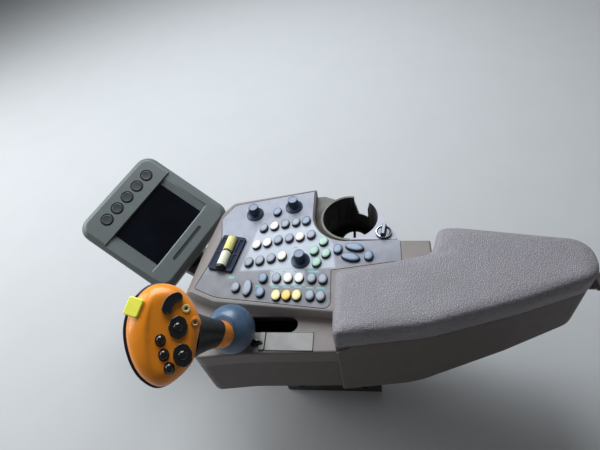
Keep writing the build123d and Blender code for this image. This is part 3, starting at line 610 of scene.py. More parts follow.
class Sheet:
    """A material's node tree with short calls for the nodes that the finishes share."""

    def __init__(self, name: str) -> None:
        """Starts a material with one principled shader.

        Args:
            name: Name of the material.
        """
        self.material = bpy.data.materials.new(name)
        self.material.use_nodes = True
        self.tree = self.material.node_tree
        self.tree.nodes.clear()
        output = self.tree.nodes.new("ShaderNodeOutputMaterial")
        self.shader = self.tree.nodes.new("ShaderNodeBsdfPrincipled")
        self.tree.links.new(self.shader.outputs["BSDF"], output.inputs["Surface"])
        self.coords = self.tree.nodes.new("ShaderNodeTexCoord").outputs["Object"]

    def link(self, source: Socket, target: Socket) -> None:
        """Joins two sockets."""
        self.tree.links.new(source, target)

    def node(self, kind: str, **settings: object) -> bpy.types.Node:
        """Adds a node and sets its properties.

        Args:
            kind: Type of the node.
            settings: Its properties.

        Returns:
            The node.
        """
        made = self.tree.nodes.new(kind)
        for key, value in settings.items():
            setattr(made, key, value)
        return made

    def mapped(self, matrix: Matrix) -> Socket:
        """Object coordinates through the inverse of a placing matrix, as in the piece's own millimetres.

        Args:
            matrix: Matrix that places the piece.

        Returns:
            The coordinates.
        """
        inverse = matrix.inverted()
        mapping = self.node("ShaderNodeMapping")
        mapping.inputs["Location"].default_value = inverse.to_translation()
        mapping.inputs["Rotation"].default_value = inverse.to_euler()
        mapping.inputs["Scale"].default_value = inverse.to_scale()
        self.link(self.coords, mapping.inputs["Vector"])
        return mapping.outputs["Vector"]

    def stretched(self, factors: Sequence[float]) -> Socket:
        """Object coordinates drawn out along the axes.

        Args:
            factors: Factor along each axis.

        Returns:
            The coordinates.
        """
        mapping = self.node("ShaderNodeMapping")
        mapping.inputs["Scale"].default_value = factors
        self.link(self.coords, mapping.inputs["Vector"])
        return mapping.outputs["Vector"]

    def noise(self, size: float, detail: float = 3.0, rough: float = 0.55,
              coords: Socket | None = None) -> Socket:
        """Noise with features of a size in millimetres.

        Args:
            size: Size of its features.
            detail: Number of finer layers.
            rough: Strength of the finer layers.
            coords: Coordinates, if not the object's.

        Returns:
            The noise, 0 to 1.
        """
        made = self.node("ShaderNodeTexNoise")
        made.inputs["Scale"].default_value = 1 / (size * MM)
        made.inputs["Detail"].default_value = detail
        made.inputs["Roughness"].default_value = rough
        self.link(coords or self.coords, made.inputs["Vector"])
        return made.outputs["Fac"]

    def cells(self, size: float, feature: str = "F1", coords: Socket | None = None) -> Socket:
        """Cells of a size in millimetres, as their distance.

        Args:
            size: Size of a cell.
            feature: Which distance is measured.
            coords: Coordinates, if not the object's.

        Returns:
            The distance.
        """
        made = self.node("ShaderNodeTexVoronoi", feature=feature)
        made.inputs["Scale"].default_value = 1 / (size * MM)
        self.link(coords or self.coords, made.inputs["Vector"])
        return made.outputs["Distance"]

    def maths(self, operation: str, first: Socket, second: Socket | float) -> Socket:
        """A maths node on a socket and a socket or number.

        Args:
            operation: The operation.
            first: First value.
            second: Second value.

        Returns:
            The result.
        """
        made = self.node("ShaderNodeMath", operation=operation)
        self.link(first, made.inputs[0])
        if isinstance(second, Socket):
            self.link(second, made.inputs[1])
        else:
            made.inputs[1].default_value = second
        return made.outputs["Value"]

    def ranged(self, value: Socket, low: float, high: float, to_low: float, to_high: float) -> Socket:
        """Maps a range onto another and clamps it.

        Args:
            value: The value.
            low: Start of its range.
            high: End of its range.
            to_low: Start of the new range.
            to_high: End of the new range.

        Returns:
            The mapped value.
        """
        made = self.node("ShaderNodeMapRange")
        self.link(value, made.inputs["Value"])
        for key, number in zip(("From Min", "From Max", "To Min", "To Max"), (low, high, to_low, to_high)):
            made.inputs[key].default_value = number
        return made.outputs["Result"]

    def blend(self, share: Socket, first: object, second: object) -> Socket:
        """Mixes two colours, each a value or a socket.

        Args:
            share: Share of the second colour.
            first: First colour.
            second: Second colour.

        Returns:
            The mixed colour.
        """
        made = self.node("ShaderNodeMix", data_type="RGBA")
        self.link(share, made.inputs["Factor"])
        for slot, value in ((6, first), (7, second)):
            if isinstance(value, Socket):
                self.link(value, made.inputs[slot])
            else:
                made.inputs[slot].default_value = (*value, 1.0)
        return made.outputs[2]

    def bump(self, height: Socket, depth: float, strength: float = 1.0,
             under: Socket | None = None) -> Socket:
        """A bump of a depth in millimetres.

        Args:
            height: Height, 0 to 1.
            depth: Depth of the relief.
            strength: Its strength.
            under: A coarser or finer relief beneath it.

        Returns:
            The bent normal.
        """
        made = self.node("ShaderNodeBump")
        made.inputs["Strength"].default_value = strength
        made.inputs["Distance"].default_value = depth * MM
        self.link(height, made.inputs["Height"])
        if under is not None:
            self.link(under, made.inputs["Normal"])
        return made.outputs["Normal"]

    def coloured(self, source: Socket) -> None:
        """Sets the surface's colour."""
        self.link(source, self.shader.inputs["Base Color"])

    def raised(self, source: Socket) -> None:
        """Sets the surface's fine relief."""
        self.link(source, self.shader.inputs["Normal"])

    def fixed(self, **values: object) -> None:
        """Sets values that are the same all over, named like the shader's sockets in small letters."""
        for key, value in values.items():
            self.shader.inputs[key.replace("_", " ").title().replace("Ior", "IOR")].default_value = value

    def shade(self, base: Colour, spread: float) -> tuple[Colour, Colour]:
        """A darker and a paler value of a colour.

        Args:
            base: The colour.
            spread: How far each way the values go.

        Returns:
            The darker and the paler colour.
        """
        low = tuple(max(0.0, c * (1 - spread)) for c in base)
        high = tuple(min(1.0, c * (1 + spread)) for c in base)
        return low, high


@dataclass(frozen=True)
class Finish:
    """A surface finish that is built once and shared."""

    name: str
    colour: Colour
    roughness: float = 0.5
    spread: float = 0.08

    def material(self) -> bpy.types.Material:
        """Gives the finish's material, and builds it the first time.

        Returns:
            The material.
        """
        found = bpy.data.materials.get(self.name)
        if found is None:
            sheet = Sheet(self.name)
            self.build(sheet)
            found = sheet.material
        return found

    def build(self, sheet: Sheet) -> None:
        """Builds the node tree on the material's sheet."""
        raise NotImplementedError

    def clouded(self, sheet: Sheet, size: float = 35.0) -> Socket:
        """Base colour with a slow, slight variation."""
        low, high = sheet.shade(self.colour, self.spread)
        return sheet.blend(sheet.ranged(sheet.noise(size, 4.0), 0.3, 0.7, 0.0, 1.0), low, high)

    def roughened(self, sheet: Sheet, size: float = 12.0, swing: float = 0.06) -> None:
        """Roughness with a slight variation.

        Args:
            sheet: The material's sheet.
            size: Size of its patches.
            swing: How far it goes up and down.
        """
        low, high = self.roughness - swing, self.roughness + swing
        level = sheet.ranged(sheet.noise(size, 3.0), 0.3, 0.7, low, high)
        sheet.link(level, sheet.shader.inputs["Roughness"])


@dataclass(frozen=True)
class MouldedPlastic(Finish):
    """Injection-moulded plastic with an etched grain."""

    grain: float = 0.55
    depth: float = 0.05
    specular: float = 0.4

    def build(self, sheet: Sheet) -> None:
        """Builds the grain, the slow clouding and the roughness.

        Args:
            sheet: The material's sheet.
        """
        grain = sheet.noise(self.grain, 2.0, 0.6)
        pits = sheet.cells(self.grain * 1.7)
        height = sheet.maths("ADD", grain, sheet.maths("MULTIPLY", pits, 0.6))
        fleck = sheet.ranged(grain, 0.35, 0.65, 0.0, 1.0)
        low, high = sheet.shade(self.colour, self.spread * 1.2)
        flecked = sheet.blend(fleck, low, high)
        cloud = sheet.ranged(sheet.noise(40.0, 4.0), 0.3, 0.7, 0.0, 0.6)
        sheet.coloured(sheet.blend(cloud, flecked, self.colour))
        sheet.raised(sheet.bump(height, self.depth))
        self.roughened(sheet)
        sheet.fixed(specular_ior_level=self.specular)


@dataclass(frozen=True)
class GlossPlastic(Finish):
    """Smooth polished plastic under a clear skin."""

    coat: float = 0.6
    waviness: float = 0.03
    tint: Colour = (1.0, 1.0, 1.0)

    def build(self, sheet: Sheet) -> None:
        """Builds the slight waviness, dust and coat.

        Args:
            sheet: The material's sheet.
        """
        sheet.coloured(self.clouded(sheet, 18.0))
        waves = sheet.noise(7.0, 2.0)
        dust = sheet.noise(0.4, 2.0)
        fine = sheet.bump(dust, 0.008)
        sheet.raised(sheet.bump(waves, self.waviness, 0.6, fine))
        self.roughened(sheet, 9.0, 0.04)
        sheet.fixed(coat_weight=self.coat, coat_roughness=0.12, specular_tint=(*self.tint, 1.0))


@dataclass(frozen=True)
class Skin(Finish):
    """Padded armrest skin with an embossed pebble grain."""

    pebble: float = 2.4
    depth: float = 0.3

    def build(self, sheet: Sheet) -> None:
        """Builds warped cells, their creases darkened as painted shade, and a fine grain in them.

        Args:
            sheet: The material's sheet.
        """
        warp = sheet.node("ShaderNodeTexNoise")
        warp.inputs["Scale"].default_value = 1 / (6.0 * MM)
        sheet.link(sheet.coords, warp.inputs["Vector"])
        mixed = sheet.node("ShaderNodeVectorMath", operation="MULTIPLY_ADD")
        sheet.link(warp.outputs["Color"], mixed.inputs[0])
        mixed.inputs[1].default_value = (0.0012, 0.0012, 0.0012)
        sheet.link(sheet.coords, mixed.inputs[2])
        crease = sheet.cells(self.pebble, "DISTANCE_TO_EDGE", mixed.outputs["Vector"])
        pebbles = sheet.ranged(crease, 0.0, 0.35, 0.0, 1.0)
        fine = sheet.noise(0.35, 2.0)
        height = sheet.maths("ADD", pebbles, sheet.maths("MULTIPLY", fine, 0.25))
        low, high = sheet.shade(self.colour, self.spread)
        body = sheet.blend(sheet.ranged(sheet.noise(45.0, 4.0), 0.3, 0.7, 0.0, 1.0), low, high)
        # Painted shade: the creases between the pebbles are painted darker
        deep = tuple(c * 0.62 for c in self.colour)
        dark = sheet.blend(sheet.ranged(crease, 0.0, 0.12, 1.0, 0.0), body, deep)
        sheet.coloured(dark)
        sheet.raised(sheet.bump(height, self.depth, 0.9))
        self.roughened(sheet)
        sheet.fixed(sheen_weight=0.15, sheen_roughness=0.5)


@dataclass(frozen=True)
class Rubber(Finish):
    """Moulded rubber, a little glossy, with faint flow marks."""

    coat: float = 0.35

    def build(self, sheet: Sheet) -> None:
        """Builds dust, flow marks and a soft gloss.

        Args:
            sheet: The material's sheet.
        """
        dusty = tuple(min(1.0, c * 1.9 + 0.02) for c in self.colour)
        dust = sheet.ranged(sheet.noise(16.0, 5.0, 0.65), 0.45, 0.75, 0.0, 0.5)
        sheet.coloured(sheet.blend(dust, self.colour, dusty))
        grain = sheet.noise(0.5, 2.0)
        marks = sheet.noise(9.0, 2.0)
        fine = sheet.bump(grain, 0.015)
        sheet.raised(sheet.bump(marks, 0.12, 0.5, fine))
        self.roughened(sheet, 10.0, 0.07)
        sheet.fixed(coat_weight=self.coat, coat_roughness=0.22)


@dataclass(frozen=True)
class PaintedSteel(Finish):
    """Powder-coated steel with a light orange-peel."""

    def build(self, sheet: Sheet) -> None:
        """Builds the orange-peel and a slight clouding.

        Args:
            sheet: The material's sheet.
        """
        sheet.coloured(self.clouded(sheet, 30.0))
        peel = sheet.noise(1.6, 2.0)
        sheet.raised(sheet.bump(peel, 0.06))
        self.roughened(sheet)


@dataclass(frozen=True)
class BareSteel(Finish):
    """Machined steel with fine turning lines."""

    lines: Sequence[float] = (1.0, 1.0, 9.0)

    def build(self, sheet: Sheet) -> None:
        """Builds stretched scratches over metal.

        Args:
            sheet: The material's sheet.
        """
        drawn = sheet.stretched(self.lines)
        scratches = sheet.noise(1.2, 4.0, 0.7, drawn)
        low, high = sheet.shade(self.colour, self.spread)
        sheet.coloured(sheet.blend(scratches, low, high))
        sheet.raised(sheet.bump(scratches, 0.02))
        self.roughened(sheet, 3.0, 0.08)
        sheet.fixed(metallic=1.0)


@dataclass(frozen=True)
class DarkGlass(Finish):
    """Unlit display glass with a faint smear."""

    def build(self, sheet: Sheet) -> None:
        """Builds a near-black pane whose gloss varies with smears.

        Args:
            sheet: The material's sheet.
        """
        deep = tuple(c * 0.55 for c in self.colour)
        drift = sheet.ranged(sheet.noise(55.0, 2.0), 0.35, 0.65, 0.0, 1.0)
        sheet.coloured(sheet.blend(drift, deep, self.colour))
        self.roughened(sheet, 14.0, 0.04)
        sheet.fixed(specular_ior_level=0.3)
        grain = sheet.noise(0.3, 1.0)
        sheet.raised(sheet.bump(grain, 0.004))


@dataclass(frozen=True)
class KeypadFilm(Finish):
    """Keypad plate with a pale printed field behind the keys."""

    pale: Colour = (0.6, 0.6, 0.62)
    # Painted shade: the colour towards the driver, and the span along y over which the film darkens to it
    near: Colour = (0.1, 0.1, 0.1)
    near_shade_from: float = -30.0
    near_shade_to: float = 45.0
    cover: float = 0.8
    # Corners of the printed fields, columns: x, y, each list going round against the clock
    main_field: Sequence[tuple[float, float]] = (
        (32.0, 26.3), (-98.8, 24.0), (-94.9, -17.2), (-66.2, -58.8), (15.4, -55.0))
    low_field: Sequence[tuple[float, float]] = ((-11.0, 24.0), (-13.0, 51.0), (-60.0, 51.5), (-58.0, 24.0))
    blur: float = 3.6

    def _inside(self, sheet: Sheet, coords: Socket, corners: Sequence[tuple[float, float]]) -> Socket:
        """A mask that is 1 inside a convex outline.

        Args:
            sheet: The material's sheet.
            coords: Place in the console's millimetres.
            corners: The outline's corners, in order.

        Returns:
            The mask.
        """
        middle = sum((Vector(corner) for corner in corners), Vector((0.0, 0.0))) / len(corners)
        mask = None
        for (ax, ay), (bx, by) in zip(corners, [*corners[1:], corners[0]]):
            across = Vector((by - ay, ax - bx)).normalized()
            if across.dot(middle - Vector((ax, ay))) < 0:
                across = -across
            dot = sheet.node("ShaderNodeVectorMath", operation="DOT_PRODUCT")
            sheet.link(coords, dot.inputs[0])
            dot.inputs[1].default_value = (across.x, across.y, 0.0)
            level = across.x * ax + across.y * ay
            side = sheet.ranged(dot.outputs["Value"], level - self.blur / 2, level + self.blur / 2, 0.0, 1.0)
            mask = side if mask is None else sheet.maths("MULTIPLY", mask, side)
        return mask

    def build(self, sheet: Sheet) -> None:
        """Builds the fine grain, the darker strip near the driver, which is painted shade, and the printed
        fields.

        Args:
            sheet: The material's sheet.
        """
        coords = sheet.mapped(CONSOLE)
        fields = sheet.maths("MAXIMUM", self._inside(sheet, coords, self.main_field),
                             self._inside(sheet, coords, self.low_field))
        split = sheet.node("ShaderNodeSeparateXYZ")
        sheet.link(coords, split.inputs["Vector"])
        # Painted shade: the film darkens towards the driver
        towards = sheet.ranged(split.outputs["Y"], self.near_shade_from, self.near_shade_to, 0.0, 1.0)
        body = sheet.blend(towards, self.clouded(sheet, 30.0), self.near)
        fine = sheet.noise(0.5, 2.0)
        worn = tuple(c * 0.93 for c in self.pale)
        printed = sheet.blend(sheet.ranged(sheet.noise(20.0), 0.3, 0.7, 0.0, 1.0), self.pale, worn)
        share = sheet.maths("MULTIPLY", fields, self.cover)
        sheet.coloured(sheet.blend(share, body, printed))
        sheet.raised(sheet.bump(fine, 0.02))
        self.roughened(sheet)


class Palette:
    """The finishes of the console's parts."""

    HOUSING = MouldedPlastic("housing_brown_grey", tone(124, 114, 110), 0.5)
    # Paler grey painted on the housing's wall over the shelf as painted light
    FASCIA_PAINTED_LIGHT = MouldedPlastic("housing_fascia_painted_light", tone(166, 160, 158), 0.5)
    TUB = MouldedPlastic("tub_dark_brown", tone(106, 95, 92), 0.58)
    # The film's darker colour towards the driver is painted shade
    FILM = KeypadFilm("keypad_film", tone(132, 133, 146), 0.42,
                      pale=tone(176, 182, 192), near=tone(96, 93, 97))
    SKIN = Skin("armrest_pebbled_skin", tone(137, 131, 136), 0.5)
    CUP_RIM = MouldedPlastic("cup_rim_grey", tone(168, 166, 176), 0.42)
    CUP_WALL = MouldedPlastic("cup_wall_olive_grey", tone(98, 95, 88), 0.5)
    CUP_INSIDE = MouldedPlastic("cup_inside_black", tone(46, 44, 42), 0.6)
    CASE = MouldedPlastic("display_case_grey", tone(104, 110, 109), 0.4, depth=0.035)
    # Paler grey painted on the display's risers and bevel as a painted highlight
    CASE_HIGHLIGHT = MouldedPlastic("display_case_painted_highlight", tone(148, 156, 156), 0.36, depth=0.02)
    CASE_KEY = MouldedPlastic("display_key_grey", tone(60, 64, 65), 0.38, depth=0.03)
    CASE_BACK = MouldedPlastic("display_back_dark", tone(66, 68, 65), 0.5)
    GLASS = DarkGlass("display_glass", tone(8, 12, 22), 0.12)
    KEY_GREY = GlossPlastic("key_top_grey", tone(112, 118, 131), 0.36, coat=0.3)
    KEY_WHITE = GlossPlastic("key_top_cream", tone(220, 212, 200), 0.38, coat=0.25)
    KEY_GREEN = GlossPlastic("key_top_green", tone(142, 178, 156), 0.38, coat=0.25)
    KEY_BLUE = GlossPlastic("key_top_blue_grey", tone(88, 107, 132), 0.36, coat=0.3)
    KEY_YELLOW = GlossPlastic("key_top_yellow", tone(224, 208, 140), 0.38, coat=0.25)
    KEY_AMBER = GlossPlastic("key_top_amber", tone(226, 184, 70), 0.38, coat=0.25)
    # Dark colour painted on the keys' sides as painted shade
    KEY_SIDE_SHADE = MouldedPlastic("key_sides_painted_shade", tone(34, 36, 44), 0.5)
    KNOB = MouldedPlastic("knob_blue_black", tone(26, 38, 64), 0.38, depth=0.03)
    KNOB_SKIRT = MouldedPlastic("knob_skirt_blue_grey", tone(64, 78, 102), 0.36, depth=0.03)
    # Paler blue painted on the knobs' tops as a painted highlight
    KNOB_TOP_HIGHLIGHT = GlossPlastic("knob_top_painted_highlight", tone(72, 88, 116), 0.35, coat=0.2)
    PRINT_TEAL = MouldedPlastic("print_teal", tone(96, 176, 172), 0.5)
    PADDLE_FRAME = MouldedPlastic("paddle_frame_blue_black", tone(25, 34, 58), 0.6, depth=0.03, specular=0.2)
    PADDLE_YELLOW = GlossPlastic("roller_yellow", tone(226, 218, 128), 0.42, coat=0.15)
    PADDLE_CREAM = GlossPlastic("roller_cream", tone(224, 221, 196), 0.42, coat=0.15)
    BLACK = MouldedPlastic("black_satin", tone(20, 21, 26), 0.34, depth=0.02)
    BLACK_GLOSS = GlossPlastic("black_gloss", tone(12, 13, 18), 0.14, coat=0.9)
    BOOT = Rubber("boot_blue_black", tone(66, 88, 113), 0.42)
    ORANGE = GlossPlastic("grip_orange", tone(252, 146, 30), 0.36, coat=0.25, tint=(1.0, 0.9, 0.6))
    GRIP_BACK = MouldedPlastic("grip_back_charcoal", tone(22, 24, 28), 0.42, depth=0.03)
    STOP = GlossPlastic("stop_button_yellow", tone(250, 244, 84), 0.4, coat=0.15, tint=(1.0, 1.0, 0.6))
    LAMP_RING = GlossPlastic("lamp_ring_cream", tone(232, 212, 140), 0.3, coat=0.3)
    LAMP_DIM = GlossPlastic("lamp_ring_brown", tone(172, 122, 66), 0.3, coat=0.3)
    LAMP_LENS = GlossPlastic("lamp_lens_amber", tone(96, 62, 36), 0.2, coat=0.8)
    SILVER = BareSteel("ring_silver", tone(196, 198, 206), 0.28)
    STEEL = BareSteel("machined_steel", tone(120, 120, 124), 0.38)
    COATED = PaintedSteel("steel_black_coat", tone(40, 40, 42), 0.45)
    PLATE = MouldedPlastic("card_plate_grey", tone(136, 132, 127), 0.4, depth=0.02)
    # Black painted into gaps and wells as painted shade
    SHADE_BLACK = MouldedPlastic("painted_shade_black", tone(26, 26, 28), 0.6)


@dataclass
class Display:
    """Display on its leaning post: raised key strip, sunk band with stepped sides, glass and five keys."""

    origin: Vector = field(default_factory=lambda: Vector((183.8, -73.6, -4.6)))
    right: Vector = field(default_factory=lambda: Vector((-0.50904, -0.84057, 0.18528)))
    normal: Vector = field(default_factory=lambda: Vector((-0.305, 0.377, 0.874)))
    width: float = 166.0
    height: float = 174.0
    depth: float = 20.0
    middle_x: float = 0.6
    middle_y: float = 7.0
    corner: float = 22.0
    rim: float = 8.0
    screen_w: float = 108.0
    screen_h: float = 80.0
    strip_y: float = 41.0
    bevel_y: float = -46.5
    bevel_run: float = 5.6
    step: float = 2.4
    ledges: int = 4
    ledge_w: float = 3.4
    recess: float = 4.0
    screen_back: float = -6.5
    screen_t: float = 2.0
    key_y: float = 65.0
    key_x: Sequence[float] = (-42.0, -18.7, 4.6, 27.9, 51.2)
    key_r: float = 8.2
    key_rise: float = 0.9
    key_sink: float = 0.9
    ring_gap: float = 1.9
    label_w: float = 67.0
    label_h: float = 5.6
    label_y: float = -56.2
    label_x: float = -0.8
    window_gap: float = 0.3
    # How far the cutters stand out of the front face
    over: float = 6.0

    @property
    def place(self) -> Matrix:
        """Place of the display's front face."""
        return drawn_at(self.origin, self.right, self.normal)

    def case(self) -> None:
        """Cuts the front case from a rounded block."""
        half_w, half_h = self.width / 2, self.height / 2
        low = (self.middle_x - half_w, self.middle_y - half_h, -self.depth)
        high = (self.middle_x + half_w, self.middle_y + half_h, 0.0)
        case = Workpiece.block("display_front_case", low, high)
        case.round_uprights(self.corner, 10)
        case.edges(lambda p, d: abs(p.z) < 1e-3 and abs(d.z) < 1e-3)
        case.round_edges(self.rim, 1)
        case.soften(1.3, 30.0, 3)
        wedge = Workpiece.block("wedge", (-self.width, self.bevel_y, -self.step),
                                (self.width, self.strip_y, self.over))
        wedge.verts(lambda p, n: p.z < 0 and p.y < 0)
        wedge.shift((0.0, 0.0, self.step - 0.05))
        case.cut(wedge)
        for i in range(self.ledges):
            half = self.screen_w / 2 + self.ledge_w * (i + 1)
            depth = self.recess * (self.ledges - i) / self.ledges + self.step / 2
            ledge = Workpiece.block("ledge", (-half, self.bevel_y, -depth), (half, self.strip_y, self.over))
            ledge.verts(lambda p, n: p.z < 0 and p.y < 0)
            ledge.shift((0.0, self.bevel_run, 0.0))
            case.cut(ledge)
        half_w, half_h = self.screen_w / 2 + self.window_gap, self.screen_h / 2 + self.window_gap
        case.cut(Workpiece.block("window", (-half_w, -half_h, self.screen_back - 0.1),
                                 (half_w, half_h, self.over)))
        reach = self.key_r + self.ring_gap
        for x in self.key_x:
            case.cut(Workpiece.rod("well", reach, -self.key_sink, self.over, (x, self.key_y)))
        half_w, half_h = self.label_w / 2, self.label_h / 2
        label = Workpiece.block("label", (-half_w, -half_h, -1.0), (half_w, half_h, self.over))
        label.round_uprights(self.label_h * 0.45, 6)
        label.sculpt(lambda p: p + Vector((self.label_x, self.label_y, 0.0)))
        case.cut(label)
        case.soften(0.45, 28.0)
        case.painted(Palette.CASE)
        # Painted highlight: the risers of the side bands and the bevel at the screen's foot get a paler grey
        case.painted(Palette.CASE_HIGHLIGHT, self._highlit_faces)
        # Painted shade: the key wells are painted black round the keys
        case.painted(Palette.SHADE_BLACK, lambda p, n: self._in_well(p) and p.z < -0.2)
        # Painted shade: the floor of the label recess takes the dark key grey
        case.painted(Palette.CASE_KEY, lambda p, n: p.y < -50.0 and -1.1 < p.z < -0.9 and n.z > ALONG_Z)
        case.done(self.place, Body.DISPLAY, "case_plastic", "display_case")

    def _highlit_faces(self, point: Vector, normal: Vector) -> bool:
        """Tells the risers of the side bands and the bevel at the screen's foot, which take a painted
        highlight.

        Args:
            point: Middle of the face.
            normal: Direction in which it faces.

        Returns:
            Whether the face is one of them.
        """
        reach = self.screen_w / 2 + self.ledge_w * self.ledges + 0.3
        if abs(point.x) > reach or point.z < self.screen_back + 1.5:
            return False
        on_bevel = normal.y > 0.2 and self.bevel_y - 0.5 < point.y < -self.screen_h / 2
        on_riser = abs(normal.x) > 0.6 and self.bevel_y < point.y < self.strip_y and point.z < -0.1
        return on_bevel or on_riser

    def _in_well(self, point: Vector) -> bool:
        """Whether a point lies in the well of a key."""
        reach = self.key_r + self.ring_gap + 0.1
        return any(hypot(point.x - x, point.y - self.key_y) < reach for x in self.key_x)

    def keys(self) -> None:
        """Turns one shallow key and repeats it along the strip."""
        r, top = self.key_r, self.key_rise
        key = Workpiece.lathe("display_round_keys", [
            (0.0, -self.key_sink), (r, -self.key_sink), (r, top - 0.9), (r - 0.3, top - 0.35),
            (r - 1.0, top), (r - 1.6, top - 0.1), (r * 0.5, top - 0.28), (0.0, top - 0.35)], 40)
        key.painted(Palette.CASE_KEY)
        key.repeated([Matrix.Translation((x, self.key_y, 0.0)) for x in self.key_x])
        key.done(self.place, Body.DISPLAY, "case_plastic", "display_keys")

    def glass(self) -> None:
        """Shapes the glass with its printed border set back."""
        half_w, half_h = self.screen_w / 2, self.screen_h / 2
        low, high = self.screen_back, self.screen_back + self.screen_t
        glass = Workpiece.block("display_glass_pane", (-half_w, -half_h, low), (half_w, half_h, high))
        glass.faces(lambda p, n: n.z > ALONG_Z)
        glass.inset(2.2)
        glass.inset(0.4, -0.15)
        glass.soften(0.3, 30.0)
        glass.painted(Palette.GLASS)
        glass.done(self.place, Body.DISPLAY, "screen_glass", "display_screen")

    def back(self, frame: dict) -> None:
        """Rounds the rear shell.

        Args:
            frame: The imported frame.
        """
        shell = Workpiece.of_node(frame, "display_back", "display_rear_shell").flatten_faces().soften(0.8)
        shell.painted(Palette.CASE_BACK)
        shell.done(ROW, Body.DISPLAY, "case_plastic", "display_back")

    def build(self, frame: dict) -> None:
        """Builds the display.

        Args:
            frame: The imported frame.
        """
        self.case()
        self.keys()
        self.glass()
        self.back(frame)


# Keys on the keypad, columns of each table: x, y, turn in degrees
GREY_KEYS = (
    (7.8, -48.2, -14.0), (-23.7, -54.5, -14.0), (-39.4, -57.3, -14.0), (-16.4, -24.7, -14.0),
    (-32.3, -27.4, -14.0), (-63.5, -32.6, -14.0), (20.8, 13.5, -14.0), (5.6, 11.0, -14.0),
    (-10.1, 7.5, -14.0), (-21.4, 40.4, 0.0), (-68.9, 41.9, 0.0), (-83.7, 43.0, 0.0),
    (32.7, 54.2, 0.0), (-68.3, 67.9, 0.0), (-82.1, 69.2, 0.0),
)
WHITE_KEYS = (
    (-8.1, -51.0, -14.0), (13.9, -16.9, -14.0), (-1.3, -20.3, -14.0), (-47.6, -29.2, -14.0),
    (-25.3, 4.2, -14.0), (-37.3, 40.7, 0.0), (-52.2, 41.0, 0.0),
)
GREEN_KEYS = ((-81.9, -19.7, -20.0), (-69.7, -3.8, -20.0), (-85.9, 1.4, -20.0), (-73.9, 16.0, -20.0))
BLUE_KEYS = (
    (-9.1, -79.3, -14.0), (-54.5, -59.3, -14.0), (-3.1, 40.1, 0.0), (-2.0, 62.3, 0.0),
    (-102.2, -5.3, -15.0), (-143.6, 7.0, -15.0),
)
YELLOW_KEYS = ((-24.1, 67.4, 0.0), (-37.6, 67.5, 0.0), (-51.0, 67.7, 0.0))


